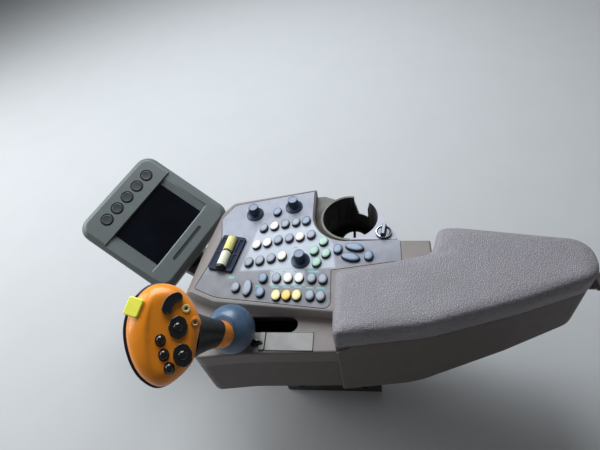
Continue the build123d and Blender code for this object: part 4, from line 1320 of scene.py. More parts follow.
@dataclass
class Keypad:
    """Keypad plate with its oval keys, rotary knobs and printed dashes."""

    key_w: float = 12.4
    key_l: float = 16.0
    key_h: float = 4.8
    knobs: Sequence[tuple[float, float]] = ((25.4, -77.7), (-33.3, -89.7), (-51.2, 11.1))
    knob_r: float = 13.0
    knob_cap_r: float = 8.2
    knob_h: float = 17.0
    # Long keys, columns: x, y, length along y, width along x, turn in degrees
    long_keys: Sequence[tuple[float, float, float, float, float]] = (
        (16.6, 55.2, 26.0, 13.0, 0.0), (-124.9, -8.0, 13.0, 26.0, -15.0), (-119.4, 8.8, 13.0, 26.0, -15.0))
    # Printed dashes, columns: x, y, length, width
    dashes: Sequence[tuple[float, float, float, float]] = (
        (-14.5, 28.4, 4.0, 2.4), (-30.0, 28.7, 4.0, 2.4), (-45.4, 28.9, 4.0, 2.4), (-70.0, 29.5, 15.0, 3.2),
        (-20.5, 53.4, 10.0, 2.0), (-36.0, 53.6, 10.0, 2.0), (-51.0, 53.8, 10.0, 2.0),
        (-66.5, 55.0, 10.0, 2.0), (-81.5, 55.6, 10.0, 2.0), (2.7, 51.6, 8.0, 2.0), (41.6, 37.0, 8.0, 3.2),
        (-42.4, -11.7, 5.0, 2.4))
    dash_t: float = 0.06
    dash_turn: float = -3.0
    flutes: int = 12
    amber_reach: float = 9.0

    def plate(self, frame: dict) -> None:
        """Rounds the plate's edge.

        Args:
            frame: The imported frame.
        """
        plate = Workpiece.of_node(frame, "keypad_plate", "keypad_cover").flatten_faces().soften(0.5, 50.0)
        plate.painted(Palette.FILM)
        # Painted shade: the plate's edges are painted black for the dark gap round it
        plate.painted(Palette.SHADE_BLACK, lambda p, n: n.z < 0.75)
        plate.done(ROW, Body.CONSOLE, "keypad_plastic", "keypad_plate")

    def one_key(self, name: str, finish: Finish, width: float, length: float) -> Workpiece:
        """Turns a domed key with a skirt, its sides painted dark as painted shade, and draws it out to an
        oval.

        Args:
            name: Name of the piece.
            finish: Finish of its top.
            width: Size along x.
            length: Size along y.

        Returns:
            The key about its own middle.
        """
        r, h = self.key_w / 2, self.key_h
        profile = [
            (0.0, 0.0), (r + 0.2, 0.0), (r + 0.2, 0.5), (r, 0.8), (r - 0.15, h - 1.5), (r - 0.3, h - 0.95),
            (r - 0.75, h - 0.5), (r - 1.6, h - 0.2), (r - 3.4, h), (0.0, h)]
        key = Workpiece.lathe(name, profile, 36)
        key.sculpt(lambda p: Vector((p.x * width / self.key_w, p.y * length / self.key_w, p.z)))
        key.painted(finish)
        # Painted shade: the key's sides below its top are painted dark
        key.painted(Palette.KEY_SIDE_SHADE, lambda p, n: p.z < h - 0.8)
        return key

    def bank(self, name: str, finish: Finish, slot: str, node: str,
             table: Sequence[tuple[float, float, float]]) -> None:
        """Repeats one key over a table of places.

        Args:
            name: Name of the piece.
            finish: Finish of the tops.
            slot: The record's material slot.
            node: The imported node.
            table: Places, columns: x, y, turn.
        """
        key = self.one_key(name, finish, self.key_w, self.key_l)
        key.repeated([turned(x, y, turn) for x, y, turn in table])
        if finish is Palette.KEY_YELLOW:
            middle, level = Vector(table[1][:2]), self.key_h - 0.8
            key.painted(Palette.KEY_AMBER,
                        lambda p, n: (p.xy - middle).length < self.amber_reach and p.z > level)
        key.done(CONSOLE, Body.CONSOLE, slot, node, smooth=50.0)

    def long_bank(self) -> None:
        """Builds the three long keys."""
        keys = []
        for i, (x, y, length, width, turn) in enumerate(self.long_keys):
            finish = Palette.KEY_GREY if i == 0 else Palette.KEY_BLUE
            key = self.one_key(f"keys_long_{i}", finish, width, length)
            keys.append(key.repeated([turned(x, y, turn)]))
        bank = keys[0].joined(*keys[1:])
        bank.obj.name = "keypad_long_keys"
        bank.done(CONSOLE, Body.CONSOLE, "key_grey", "keys_long", smooth=50.0)

    def rotary(self) -> None:
        """Turns a knob with a flared skirt and a fluted cap."""
        r, cap, top = self.knob_r, self.knob_cap_r, self.knob_h
        foot = cap + 1.4
        sides = 4 * self.flutes
        knob = Workpiece.lathe("keypad_rotary_knobs", [
            (0.0, 0.0), (r, 0.0), (r, 1.8), (r - 0.6, 2.5), (foot + 1.2, 3.9), (foot, 4.2),
            (foot - 0.4, 4.6), (cap, 4.9), (cap - 0.2, 8.0), (cap - 0.5, 11.6), (cap - 0.9, top - 1.1),
            (cap - 1.2, top - 0.35), (cap - 1.9, top), (cap - 2.8, top - 0.05), (cap - 3.1, top - 0.35),
            (0.0, top - 0.35)], sides)
        knob.verts(lambda p, n: 5.5 < p.z < top - 0.8 and p.xy.length > 4.0
                   and round(atan2(p.y, p.x) / tau * sides) % 4 in (0, 1))
        knob.resize((0.88, 0.88, 1.0))
        knob.painted(Palette.KNOB)
        knob.painted(Palette.KNOB_SKIRT, lambda p, n: p.z < 4.0)
        # Painted highlight: the cap's top gets a paler blue
        knob.painted(Palette.KNOB_TOP_HIGHLIGHT, lambda p, n: p.z > top - 0.5)
        knob.repeated([turned(x, y, 20.0 * i) for i, (x, y) in enumerate(self.knobs)])
        knob.done(CONSOLE, Body.CONSOLE, "knob_plastic", "rotary_knobs", smooth=38.0)

    def print_marks(self) -> None:
        """Lays thin printed dashes above some of the keys."""
        marks = []
        for i, (x, y, length, width) in enumerate(self.dashes):
            half_l, half_w = length / 2, width / 2
            dash = Workpiece.block(f"dash_{i}", (-half_l, -half_w, 0.0), (half_l, half_w, self.dash_t))
            dash.round_uprights(0.6, 3)
            marks.append(dash.repeated([turned(x, y, self.dash_turn)]))
        dashes = marks[0].joined(*marks[1:])
        dashes.obj.name = "keypad_printed_dashes"
        dashes.painted(Palette.PRINT_TEAL)
        dashes.done(CONSOLE, Body.CONSOLE, "keypad_plastic")

    def build(self, frame: dict) -> None:
        """Builds the keypad.

        Args:
            frame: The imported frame.
        """
        self.plate(frame)
        for name, finish, slot, node, table in (
            ("keypad_grey_keys", Palette.KEY_GREY, "key_grey", "keys_grey", GREY_KEYS),
            ("keypad_white_keys", Palette.KEY_WHITE, "key_white", "keys_white", WHITE_KEYS),
            ("keypad_green_keys", Palette.KEY_GREEN, "key_green", "keys_green", GREEN_KEYS),
            ("keypad_blue_keys", Palette.KEY_BLUE, "key_blue", "keys_blue", BLUE_KEYS),
            ("keypad_yellow_keys", Palette.KEY_YELLOW, "key_yellow", "keys_yellow", YELLOW_KEYS),
        ):
            self.bank(name, finish, slot, node, table)
        self.long_bank()
        self.rotary()
        self.print_marks()


@dataclass
class PaddleSwitches:
    """Two ribbed rollers in a frame with stepped plates on both sides."""

    x: float = 54.4
    y: float = -3.0
    turn: float = -9.0
    length: float = 60.0
    width: float = 36.0
    height: float = 4.0
    frame_turn: float = -3.0
    roller_r: float = 6.8
    roller_l: float = 24.4
    axle_z: float = 5.5
    floor_z: float = 1.5
    ribs: int = 20
    # Half the gap between the rollers
    gap: float = 1.0
    pane_w: float = 5.2
    pane_sink: float = 1.1
    pane_lean: float = 9.0
    pane_inset: float = 4.6

    @property
    def place(self) -> Matrix:
        """Place of the frame's middle."""
        return CONSOLE @ turned(self.x, self.y, self.turn)

    def frame_plate(self) -> None:
        """Cuts the wells and steps the plates beside them."""
        half_w, half_l = self.width / 2, self.length / 2
        high = (half_w, half_l, self.height)
        plate = Workpiece.block("paddle_switch_frame", (-half_w, -half_l, 0.0), high)
        plate.round_uprights(3.0, 5)
        plate.sculpt(lambda p: turned(0.0, 0.0, self.frame_turn) @ p)
        well_w = self.roller_r + 1.2
        reach = self.roller_l / 2 + 0.4
        for side in (-1, 1):
            middle = side * (self.roller_l / 2 + self.gap)
            plate.cut(Workpiece.block("well", (-well_w, middle - reach, self.floor_z),
                                      (well_w, middle + reach, 2 * self.height)))
            for flank in (-1, 1):
                wide, long = self.pane_w / 2, reach - 1.2
                pane = Workpiece.block("pane", (-wide, -long, -self.pane_sink), (wide, long, 6.0))
                pane.round_uprights(1.0, 3)
                shift = turned(0.0, 0.0, self.frame_turn) @ Matrix.Translation(
                    (flank * (half_w - self.pane_inset), middle, self.height))
                pane.repeated([shift @ Matrix.Rotation(radians(-flank * self.pane_lean), 4, "Y")])
                plate.cut(pane)
        plate.soften(0.5, 30.0)
        plate.painted(Palette.PADDLE_FRAME)
        plate.painted(Palette.BLACK, lambda p, n: abs(p.x) < well_w and p.z < self.height - 0.8)
        plate.done(self.place, Body.CONSOLE, "black_plastic", "paddle_frame")

    def roller(self, name: str, finish: Finish, node: str, side: int) -> None:
        """Shapes one ribbed roller lying along the frame.

        Args:
            name: Name of the piece.
            finish: Its finish.
            node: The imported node, whose slot has the same name.
            side: -1 for the far one, 1 for the near one.
        """
        sides, half = self.ribs * 4, self.roller_l / 2
        bar = Workpiece.rod(name, self.roller_r, -half + 0.5, half - 0.5, sides=sides)
        bar.edges(lambda p, d: abs(p.z) > half - 0.6 and abs(d.z) < 0.1)
        bar.round_edges(0.9, 3)
        bar.verts(lambda p, n: round(atan2(p.y, p.x) / tau * sides) % 4 in (0, 1) and p.xy.length > 5.0)
        bar.resize((0.95, 0.95, 1.0))
        lying = Matrix.Translation((0.0, side * (half + self.gap), self.axle_z))
        bar.repeated([lying @ Matrix.Rotation(radians(90.0), 4, "X")])
        bar.cut(Workpiece.block("under", (-20.0, -40.0, -20.0), (20.0, 40.0, self.floor_z + 0.3)))
        bar.painted(finish)
        bar.done(self.place, Body.CONSOLE, node, node, smooth=28.0)

    def end_cap(self) -> None:
        """Turns the black cap at the near end and the ring between the rollers."""
        r = self.roller_r
        cap = Workpiece.lathe("paddle_switch_caps", [
            (0.0, 0.0), (r + 0.4, 0.0), (r + 0.4, 3.0), (r - 0.2, 4.2), (r - 1.4, 4.9), (r - 4.0, 5.1),
            (0.0, 5.1)], 40)
        ring = Workpiece.rod("ring", r * 0.8, -0.9, 0.9, sides=40)
        upright = Matrix.Rotation(radians(-90.0), 4, "X")
        cap.repeated([Matrix.Translation((0.0, self.roller_l + 0.9, self.axle_z)) @ upright])
        ring.repeated([Matrix.Translation((0.0, 0.0, self.axle_z)) @ upright])
        both = cap.joined(ring)
        both.cut(Workpiece.block("under", (-20.0, -40.0, -20.0), (20.0, 40.0, self.floor_z + 0.1)))
        both.painted(Palette.BLACK)
        both.done(self.place, Body.CONSOLE, "black_plastic")

    def build(self) -> None:
        """Builds the switches."""
        self.frame_plate()
        self.roller("paddle_roller_yellow", Palette.PADDLE_YELLOW, "paddle_yellow", -1)
        self.roller("paddle_roller_cream", Palette.PADDLE_CREAM, "paddle_cream", 1)
        self.end_cap()


@dataclass
class CupHolder:
    """Cup ring with a mug-handle slot, a drained floor and the corner plate with its selector knob."""

    x: float = -118.0
    y: float = -66.0
    bore: float = 39.7
    wall: float = 3.0
    rim_z: float = -1.0
    depth: float = 74.0
    floor: float = 3.0
    slot_from: float = -137.0
    slot_to: float = -97.5
    slot_taper: float = 8.0
    slot_depth: float = 36.0
    drain_x: float = -2.5
    drain_y: float = -14.5
    drain_r: float = 19.0
    drain_bar: float = 4.0
    bay_x: float = 3.0
    bay_y: float = -5.5
    bay_r: float = 48.8
    knob_x: float = -164.5
    knob_y: float = -34.0
    knob_r: float = 11.0
    knob_turn: float = 80.0
    blade_w: float = 8.0
    blade_top: float = 11.0
    # Corner plate about the ring's middle, columns: x, y
    plate: Sequence[tuple[float, float]] = (
        (-33.0, -24.0), (-62.0, 33.0), (-64.3, 40.0), (-62.5, 43.9), (0.0, 41.6), (0.0, 41.0), (-40.0, 0.0))
    plate_t: float = 4.0
    # The bay's far corner about the ring's middle, columns: x, y
    bay_corner: Sequence[tuple[float, float]] = (
        (30.0, 0.0), (51.5, 0.0), (51.5, -57.0), (40.0, -57.5), (24.0, -50.0), (4.0, -43.0))

    @property
    def place(self) -> Matrix:
        """Place of the ring's middle."""
        return CONSOLE @ Matrix.Translation((self.x, self.y, 0.0))

    def ring(self) -> None:
        """Cuts the ring, its slot and floor openings, and adds the corner plate."""
        outer = self.bore + self.wall
        ring = Workpiece.rod("cup_ring", outer, -self.depth, self.rim_z, sides=96)
        plate = Workpiece.prism("plate", self.plate, self.rim_z - self.plate_t, self.rim_z)
        ring.combine(plate, Blend.FUSE)
        ring.cut(Workpiece.rod("bore", self.bore, -self.depth + self.floor, 5.0, sides=96))
        reach = outer * 1.6
        slot = Workpiece.prism("slot", [(0.0, 0.0), *arc(reach, self.slot_from, self.slot_to, 4)],
                               -self.slot_depth, 5.0)
        slot.sculpt(self._tapered)
        ring.cut(slot)
        drain = Workpiece.rod("drain", self.drain_r, -self.depth - 5, -self.depth + self.floor + 5,
                              (self.drain_x, self.drain_y))
        bar = self.drain_bar / 2
        drain.cut(Workpiece.block("bar", (self.drain_x - bar, -60.0, -2 * self.depth),
                                  (self.drain_x + bar, 20.0, 0.0)))
        ring.cut(drain)
        ring.soften(0.9, 30.0, 3)
        ring.painted(Palette.CUP_RIM)
        # Painted shade: the ring's forward half takes the cove's darker olive
        ring.painted(Palette.CUP_WALL, lambda p, n: p.x > 6.0)
        ring.painted(Palette.CUP_INSIDE, self._inside)
        ring.done(self.place, Body.CONSOLE, "cup_plastic", "cup_holder")

    def _tapered(self, point: Vector) -> Vector:
        """Draws the foot of the slot's wedge together.

        Args:
            point: Corner of the wedge.

        Returns:
            Its new place.
        """
        if point.z > 0.0 or point.xy.length < 1.0:
            return point
        middle = radians((self.slot_from + self.slot_to) / 2)
        angle = atan2(point.y, point.x)
        half = radians(self.slot_to - self.slot_from) / 2
        share = (angle - middle) / half
        angle -= share * radians(self.slot_taper)
        return Vector((point.xy.length * cos(angle), point.xy.length * sin(angle), point.z))

    def _inside(self, point: Vector, normal: Vector) -> bool:
        """Tells the faces of the ring's black inside.

        Args:
            point: Middle of the face.
            normal: Direction in which it faces.

        Returns:
            Whether the face is one of them.
        """
        radial = Vector((point.x, point.y, 0.0))
        if radial.length < self.bore - 0.4 and point.z < self.rim_z - 3.0:
            return True
        faces_in = radial.length < self.bore + 0.3 and normal.dot(radial) < 0
        return faces_in and point.z < self.rim_z - 0.5

    def ledge(self) -> None:
        """Turns the cove between the ring and the housing's bay, and trims it to the bay."""
        r = self.bore + self.wall
        cove = Workpiece.lathe("cup_bay_cove", [
            (r + 0.05, -18.0), (80.0, -18.0), (80.0, -15.0), (56.0, -15.0), (51.0, -14.0), (47.5, -11.5),
            (45.0, -7.5), (43.6, -3.6), (r + 0.05, -3.0), (r + 0.05, -18.0)], 96)
        levels = (-30.0, 10.0)
        bay = Workpiece.rod("bay", self.bay_r, *levels, (self.bay_x, self.bay_y), 72)
        bay.combine(Workpiece.prism("corner", self.bay_corner, *levels), Blend.FUSE)
        bay.cut(Workpiece.block("far", (-90.0, -80.0, -40.0), (3.0, 60.0, 20.0)))
        cove.combine(bay, Blend.TRIM)
        cove.painted(Palette.CUP_WALL)
        cove.done(self.place, Body.CONSOLE, "cup_plastic", smooth=40.0)

    def selector(self) -> None:
        """Turns the selector's silver dish and raises the blade across it."""
        r = self.knob_r
        dish = Workpiece.lathe("selector_knob_dish", [
            (0.0, 0.0), (r, 0.0), (r, 3.4), (r - 0.5, 4.2), (r - 1.4, 4.4), (r - 2.2, 3.6), (r - 3.0, 3.0),
            (0.0, 2.8)], 48)
        dish.painted(Palette.KEY_GREY)
        dish.painted(Palette.SILVER, lambda p, n: p.xy.length > r - 1.5 and p.z > 2.6)
        # Painted shade: the inner slope of the silver rim is painted dark, and the side below the rim is
        # dark too
        dish.painted(Palette.KNOB, lambda p, n: p.z < 2.6 or r - 2.9 < p.xy.length < r - 1.5)
        place = CONSOLE @ turned(self.knob_x, self.knob_y, self.knob_turn, self.rim_z)
        dish.done(place, Body.CONSOLE, "knob_plastic", "selector_knob")
        half_l, half_w = r * 0.9, self.blade_w / 2
        high = (half_l, half_w, self.blade_top)
        blade = Workpiece.block("selector_knob_blade", (-half_l, -half_w, 2.6), high)
        blade.verts(lambda p, n: p.z > 10.0)
        blade.resize((0.94, 0.55, 1.0))
        blade.edges(lambda p, d: True)
        blade.round_edges(0.8, 3)
        blade.painted(Palette.BLACK)
        # Painted reflection: the blade's top is painted pale, and its sides stay black
        blade.painted(Palette.CUP_RIM, lambda p, n: n.z > ALONG_Z and p.z > 10.0)
        blade.done(place, Body.CONSOLE, "knob_plastic")

    def build(self) -> None:
        """Builds the cup holder."""
        self.ring()
        self.ledge()
        self.selector()


@dataclass
class Grip:
    """Palm grip: charcoal rear shell and neck, crowned orange face and its controls."""

    origin: Vector = field(default_factory=lambda: Vector((39.0, 192.0, 135.0)))
    right: Vector = field(default_factory=lambda: Vector((-0.90, -0.23, -0.26)))
    normal: Vector = field(default_factory=lambda: Vector((-0.35, 0.42, 0.84)))
    ball: Vector = field(default_factory=lambda: Vector((26.0, 117.5, 6.0)))
    ball_r: float = 30.0
    neck_foot: Vector = field(default_factory=lambda: Vector((26.0, 122.5, 2.0)))
    # Outline about the origin, columns: x, y
    outline: Sequence[tuple[float, float]] = (
        (-3.0, 47.0), (12.0, 42.5), (22.0, 32.0), (29.0, 19.0), (31.0, 7.0), (28.0, -8.0), (23.0, -26.0),
        (8.0, -40.0), (-7.0, -44.0), (-22.0, -33.0), (-31.0, -14.0), (-34.0, 8.0), (-29.0, 28.0),
        (-17.0, 42.5))
    middle: tuple[float, float] = (-2.0, 1.0)
    sides: int = 84
    face_h: float = 19.0
    ridge_x: float = -13.0
    ridge_bow: float = 0.0036
    ridge_rise: float = 1.1
    crease: float = 0.9
    crown_power: float = 3.2
    key_z: float = 15.0
    key_slope: float = 7.0
    back_depth: float = 22.0
    back_shift: float = -2.4
    collar_r: float = 16.0
    collar_l: float = 24.0
    # How far the neck's foot slants, so that it meets the ball on the far side
    neck_slant: float = 11.0
    neck_lap: float = 23.0
    stop_w: float = 15.0
    stop_l: float = 17.0
    boot_cut: float = -12.0
    # The neck's top about the origin, and its sections, columns: share of the way up, half width,
    # half height, share of the slant
    neck_x: float = 8.0
    neck_rings: Sequence[tuple[float, float, float, float]] = (
        (0.92, 21.5, 30.0, 0.0), (0.75, 19.0, 25.5, 0.0), (0.5, 17.6, 21.5, 0.1), (0.25, 17.0, 18.6, 0.5),
        (0.06, 16.9, 17.2, 0.9), (0.0, 16.7, 16.9, 1.0))
    # Rear shell, columns: scale of the outline, height, share of the shift
    back_rings: Sequence[tuple[float, float, float]] = (
        (1.02, -0.4, 1.0), (1.035, -2.5, 1.0), (1.02, -6.0, 0.9), (0.96, -11.0, 0.6), (0.88, -16.0, 0.3),
        (0.8, -20.0, 0.0))
    # Controls on the key face, columns: x, y, turn in degrees
    pad_spots: Sequence[tuple[float, float, float]] = ((12.0, 5.5, 0.0), (15.5, -19.0, 12.0))
    button_spots: Sequence[tuple[float, float, float]] = (
        (-3.2, -4.6, 10.0), (-0.5, -17.3, 10.0), (4.0, -29.0, 10.0))
    lamp_spots: Sequence[tuple[float, float, float]] = ((19.5, 21.5, 0.0), (27.0, 8.6, 0.0))
    rocker_spot: tuple[float, float, float] = (5.6, 28.6, 48.0)
    rocker_w: float = 9.6
    rocker_bow: float = 16.0
    rocker_half: float = 32.0

    @property
    def place(self) -> Matrix:
        """Place of the grip's parting plane."""
        return drawn_at(self.origin, self.right, self.normal)

    def rim(self, scale: float, height: float, shift: float = 0.0) -> list[Vector]:
        """A ring of the grip's outline.

        Args:
            scale: Size against the full outline, about its middle.
            height: Height over the parting plane.
            shift: Shift towards the keys.

        Returns:
            Points of the ring, in even steps of angle.
        """
        return [Vector((x + shift, y, height)) for x, y in self._smooth_outline(scale)]

    def _smooth_outline(self, scale: float) -> list[tuple[float, float]]:
        """Points on a closed smooth curve through the outline's corners.

        Args:
            scale: Size against the full outline, about its middle.

        Returns:
            The points.
        """
        corners = self.outline
        count = len(corners)
        points = []
        for i in range(self.sides):
            at = i * count / self.sides
            k, t = int(at), at - int(at)
            a, b, c, d = (Vector(corners[(k + j - 1) % count]) for j in range(4))
            spot = 0.5 * ((2 * b) + (c - a) * t + (2 * a - 5 * b + 4 * c - d) * t ** 2
                          + (3 * b - a - 3 * c + d) * t ** 3)
            x, y = (self.middle[k] + (spot[k] - self.middle[k]) * scale for k in range(2))
            points.append((x, y))
        return points

    def crown(self, share: float) -> float:
        """Height of the dome at a share of the way from its middle to its rim."""
        return self.face_h * (1 - share ** self.crown_power) ** 0.5

    def key_level(self, x: float) -> float:
        """Height of the key face."""
        return self.key_z - sin(radians(self.key_slope)) * x

    def dished(self, point: Vector) -> Vector:
        """Lowers the dome to the key face right of the ridge, with a soft crease between them.

        Args:
            point: Point on the dome.

        Returns:
            Its new place.
        """
        ridge = self.ridge_x + self.ridge_bow * (point.y + 2.0) ** 2
        limit = self.key_level(point.x) + self.ridge_rise * max(0.0, ridge - point.x)
        soft = self.crease
        low = -soft * log(exp(-point.z / soft) + exp(-limit / soft))
        return Vector((point.x, point.y, max(min(low, point.z), 0.0)))

    def face(self) -> None:
        """Domes the orange face over its outline and sets the key face back."""
        rings = [self.rim(1.0, 0.0), self.rim(1.0, 2.5)]
        steps = 26
        for i in range(1, steps):
            share = 1.0 - (i / steps) ** 1.6
            if share < 0.02:
                break
            height = self.crown(share)
            if height > 2.6:
                rings.append(self.rim(share, height))
        rings = [[self.dished(p) for p in ring] for ring in rings]
        face = Workpiece.loft("grip_orange_face", rings)
        face.painted(Palette.ORANGE)
        face.done(self.place, Body.LEVER, "orange_plastic", "grip_face", smooth=60.0)

    def neck_axis(self) -> tuple[Vector, Vector]:
        """The neck's foot at the ball and its top, in the grip's own millimetres."""
        return self.place.inverted() @ CONSOLE @ self.neck_foot, Vector((self.neck_x, 0.0, -self.back_depth))

    def along_neck(self, origin: Vector) -> Matrix:
        """The place of a piece that is turned about the neck."""
        foot, top = self.neck_axis()
        return drawn_at(origin, Vector((1.0, 0.0, 0.0)), self.place.to_3x3() @ (top - foot).normalized())

    def back(self) -> None:
        """Lofts the charcoal shell down into the neck, whose foot slants round the ball."""
        foot, top = self.neck_axis()
        along = (top - foot).normalized()
        rings = [self.rim(0.985, 0.4)]
        for scale, height, share in self.back_rings:
            rings.append(self.rim(scale, height, self.back_shift * share))
        side = Vector((1.0, 0.0, 0.0))
        side = (side - along * side.dot(along)).normalized()
        other = along.cross(side)
        low = self.ball_r + self.neck_lap
        for share, wide, tall, slant in self.neck_rings:
            centre = foot + along * (low + ((top - foot).length - low) * share)
            ring = []
            for x, y in self._smooth_outline(1.0):
                angle = atan2(y - self.middle[1], x - self.middle[0])
                drop = along * self.neck_slant * slant * sin(angle)
                ring.append(centre + side * wide * cos(angle) + other * tall * sin(angle) - drop)
            rings.append(ring)
        shell = Workpiece.loft("grip_charcoal_back", rings)
        shell.painted(Palette.GRIP_BACK)
        shell.done(self.place, Body.LEVER, "grip_rubber", "grip_back", smooth=60.0)

    def on_keys(self, x: float, y: float, turn: float = 0.0) -> Matrix:
        """A place on the sloping key face."""
        level = Matrix.Translation((0.0, 0.0, self.key_z)) @ Matrix.Rotation(radians(self.key_slope), 4, "Y")
        return level @ turned(x, y, turn)

    def pads(self) -> None:
        """Builds the lobed four-way pads."""
        lobes = 8
        count = 64
        outline = []
        for i in range(count):
            angle = tau * i / count
            reach = 1.0 + 0.022 * cos(lobes * angle)
            outline.append((8.3 * reach * cos(angle), 10.2 * reach * sin(angle)))
        pad = Workpiece.prism("grip_four_way_pads", outline, -1.5, 2.2)
        pad.faces(lambda p, n: n.z > ALONG_Z)
        pad.inset(1.1, 0.5)
        pad.inset(1.6, -0.7)
        pad.inset(0.5, 0.1)
        pad.soften(0.4, 30.0)
        knob = Workpiece.lathe("knob", [
            (0.0, 0.0), (4.7, 0.0), (4.6, 2.4), (4.1, 3.6), (3.2, 4.4), (2.0, 4.9), (0.0, 5.1)], 32)
        points = Workpiece.block("point", (-0.9, 5.2, 0.0), (0.9, 7.6, 2.7))
        points.verts(lambda p, n: p.y > 7.0)
        points.resize((0.2, 1.0, 1.0), (0.0, 7.6, 0.0))
        points.repeated([Matrix.Diagonal((0.85, 1.0, 1.0, 1.0)) @ Matrix.Rotation(radians(90.0 * i), 4, "Z")
                         for i in range(4)])
        both = pad.joined(knob, points)
        both.painted(Palette.BLACK_GLOSS)
        both.repeated([self.on_keys(*spot) for spot in self.pad_spots])
        both.done(self.place, Body.LEVER, "black_plastic", "grip_pads")

    def buttons(self) -> None:
        """Builds the three black push buttons with their collars."""
        button = Workpiece.lathe("grip_push_buttons", [
            (0.0, -1.5), (4.8, -1.5), (4.8, 0.5), (4.4, 1.1), (4.0, 1.0), (3.9, 0.7), (3.7, 1.9), (3.1, 2.9),
            (2.2, 3.6), (1.1, 4.0), (0.0, 4.1)], 36)
        button.sculpt(lambda p: Vector((p.x, p.y * 1.18, p.z)))
        button.painted(Palette.BLACK_GLOSS)
        button.repeated([self.on_keys(*spot) for spot in self.button_spots])
        button.done(self.place, Body.LEVER, "black_plastic", "grip_buttons", smooth=45.0)

    def lamps(self) -> None:
        """Builds two cream ring lamps on small orange bosses."""
        ring = Workpiece.lathe("grip_ring_lamps", [
            (1.5, 0.0), (3.9, 0.0), (3.9, 0.9), (3.4, 1.5), (2.6, 1.6), (1.9, 1.3), (1.5, 0.8)], 36)
        ring.painted(Palette.LAMP_RING)
        lens = Workpiece.lathe("lens", [(0.0, 0.0), (1.6, 0.0), (1.6, 0.5), (1.2, 0.8), (0.0, 1.0)], 24)
        lens.painted(Palette.LAMP_LENS)
        lamp = ring.joined(lens)
        spots = [self.on_keys(*spot) for spot in self.lamp_spots]
        lamp.repeated([spot @ Matrix.Translation((0.0, 0.0, -0.2)) for spot in spots])
        low = spots[1].to_translation().xy
        lamp.painted(Palette.LAMP_DIM, lambda p, n: 1.7 < (p.xy - low).length < 6.0)
        lamp.done(self.place, Body.LEVER, "lamp_lens", "grip_lamps", smooth=40.0)
        boss = Workpiece.lathe("grip_lamp_boss", [
            (0.0, -9.0), (5.6, -9.0), (5.6, -1.0), (5.2, -0.2), (4.4, 0.1), (0.0, 0.1)], 36)
        boss.painted(Palette.ORANGE)
        boss.repeated([spots[1]])
        boss.done(self.place, Body.LEVER, "orange_plastic", smooth=40.0)

    def rocker(self) -> None:
        """Builds the kidney-shaped rocker."""
        bow, half = self.rocker_bow, self.rocker_w / 2
        low, high = 90.0 - self.rocker_half, 90.0 + self.rocker_half
        outer = arc(bow + half, low, high, 14, (0.0, -bow))
        inner = arc(bow - half, high, low, 10, (0.0, -bow))
        spots = [(bow * cos(radians(a)), bow * sin(radians(a)) - bow) for a in (low, high)]
        end_left = arc(half, high, high + 180.0, 8, spots[1])
        end_right = arc(half, -high, low, 8, spots[0])
        outline = [*outer, *end_left[1:-1], *inner, *end_right[1:-1]]
        rocker = Workpiece.prism("grip_rocker_switch", outline, -1.5, 3.4)
        rocker.faces(lambda p, n: n.z > ALONG_Z)
        rocker.inset(0.9, 0.5)
        rocker.inset(1.6, -0.8)
        rocker.soften(0.5, 28.0, 3)
        rocker.painted(Palette.BLACK_GLOSS)
        rocker.sculpt(lambda p: Vector((p.x * 0.86, p.y, p.z)))
        rocker.repeated([self.on_keys(*self.rocker_spot)])
        rocker.done(self.place, Body.LEVER, "black_plastic", "grip_rocker")

    def stop_button(self) -> None:
        """Shapes the thick square stop button on the shoulder."""
        half_w, half_l = self.stop_w / 2, self.stop_l / 2
        button = Workpiece.block("grip_stop_button", (-half_w, -half_l, -12.0), (half_w, half_l, 4.0))
        button.round_uprights(2.5, 6)
        button.edges(lambda p, d: p.z > 3.9 and abs(d.z) < 0.1)
        button.round_edges(1.2, 4)
        lean = Matrix.Rotation(radians(-22.0), 4, "Y")
        button.repeated([turned(-24.8, 25.8, -22.0, 11.8) @ lean])
        button.painted(Palette.STOP)
        button.done(self.place, Body.LEVER, "stop_yellow", "stop_button")

    def boot(self) -> None:
        """Turns the ball boot about the neck and cuts it level at the foot."""
        r = self.ball_r
        profile = [*arc(r, -90.0, 56.0, 34), (r * 0.53, r * 0.87), (r * 0.5, r * 0.92), (0.0, r * 0.92)]
        profile[0] = (0.0, -r)
        boot = Workpiece.lathe("lever_ball_boot", profile, 64)
        place = self.along_neck(self.ball)
        slab = Workpiece.block("slab", (-60.0, 60.0, self.boot_cut - 60.0), (110.0, 200.0, self.boot_cut))
        slab.obj.data.transform(place.inverted() @ CONSOLE)
        boot.cut(slab)
        boot.painted(Palette.BOOT)
        boot.done(place, Body.LEVER, "boot_rubber", "lever_boot", smooth=40.0)

    def collar(self) -> None:
        """Turns the orange collar that shows between the ball and the neck's slanted foot."""
        low, high, r = self.ball_r - 4.0, self.ball_r + self.collar_l, self.collar_r
        collar = Workpiece.lathe("lever_orange_collar", [
            (10.0, low), (r - 0.4, low), (r, low + 2.0), (r + 0.1, low + 5.0), (r, low + 8.0),
            (r - 0.2, high), (10.0, high)], 48)
        collar.painted(Palette.ORANGE)
        place = self.along_neck(self.neck_foot)
        collar.done(place, Body.LEVER, "orange_plastic", "lever_collar", smooth=40.0)

    def build(self) -> None:
        """Builds the grip, its controls and the boot."""
        self.face()
        self.back()
        self.pads()
        self.buttons()
        self.lamps()
        self.rocker()
        self.stop_button()
        self.boot()
        self.collar()


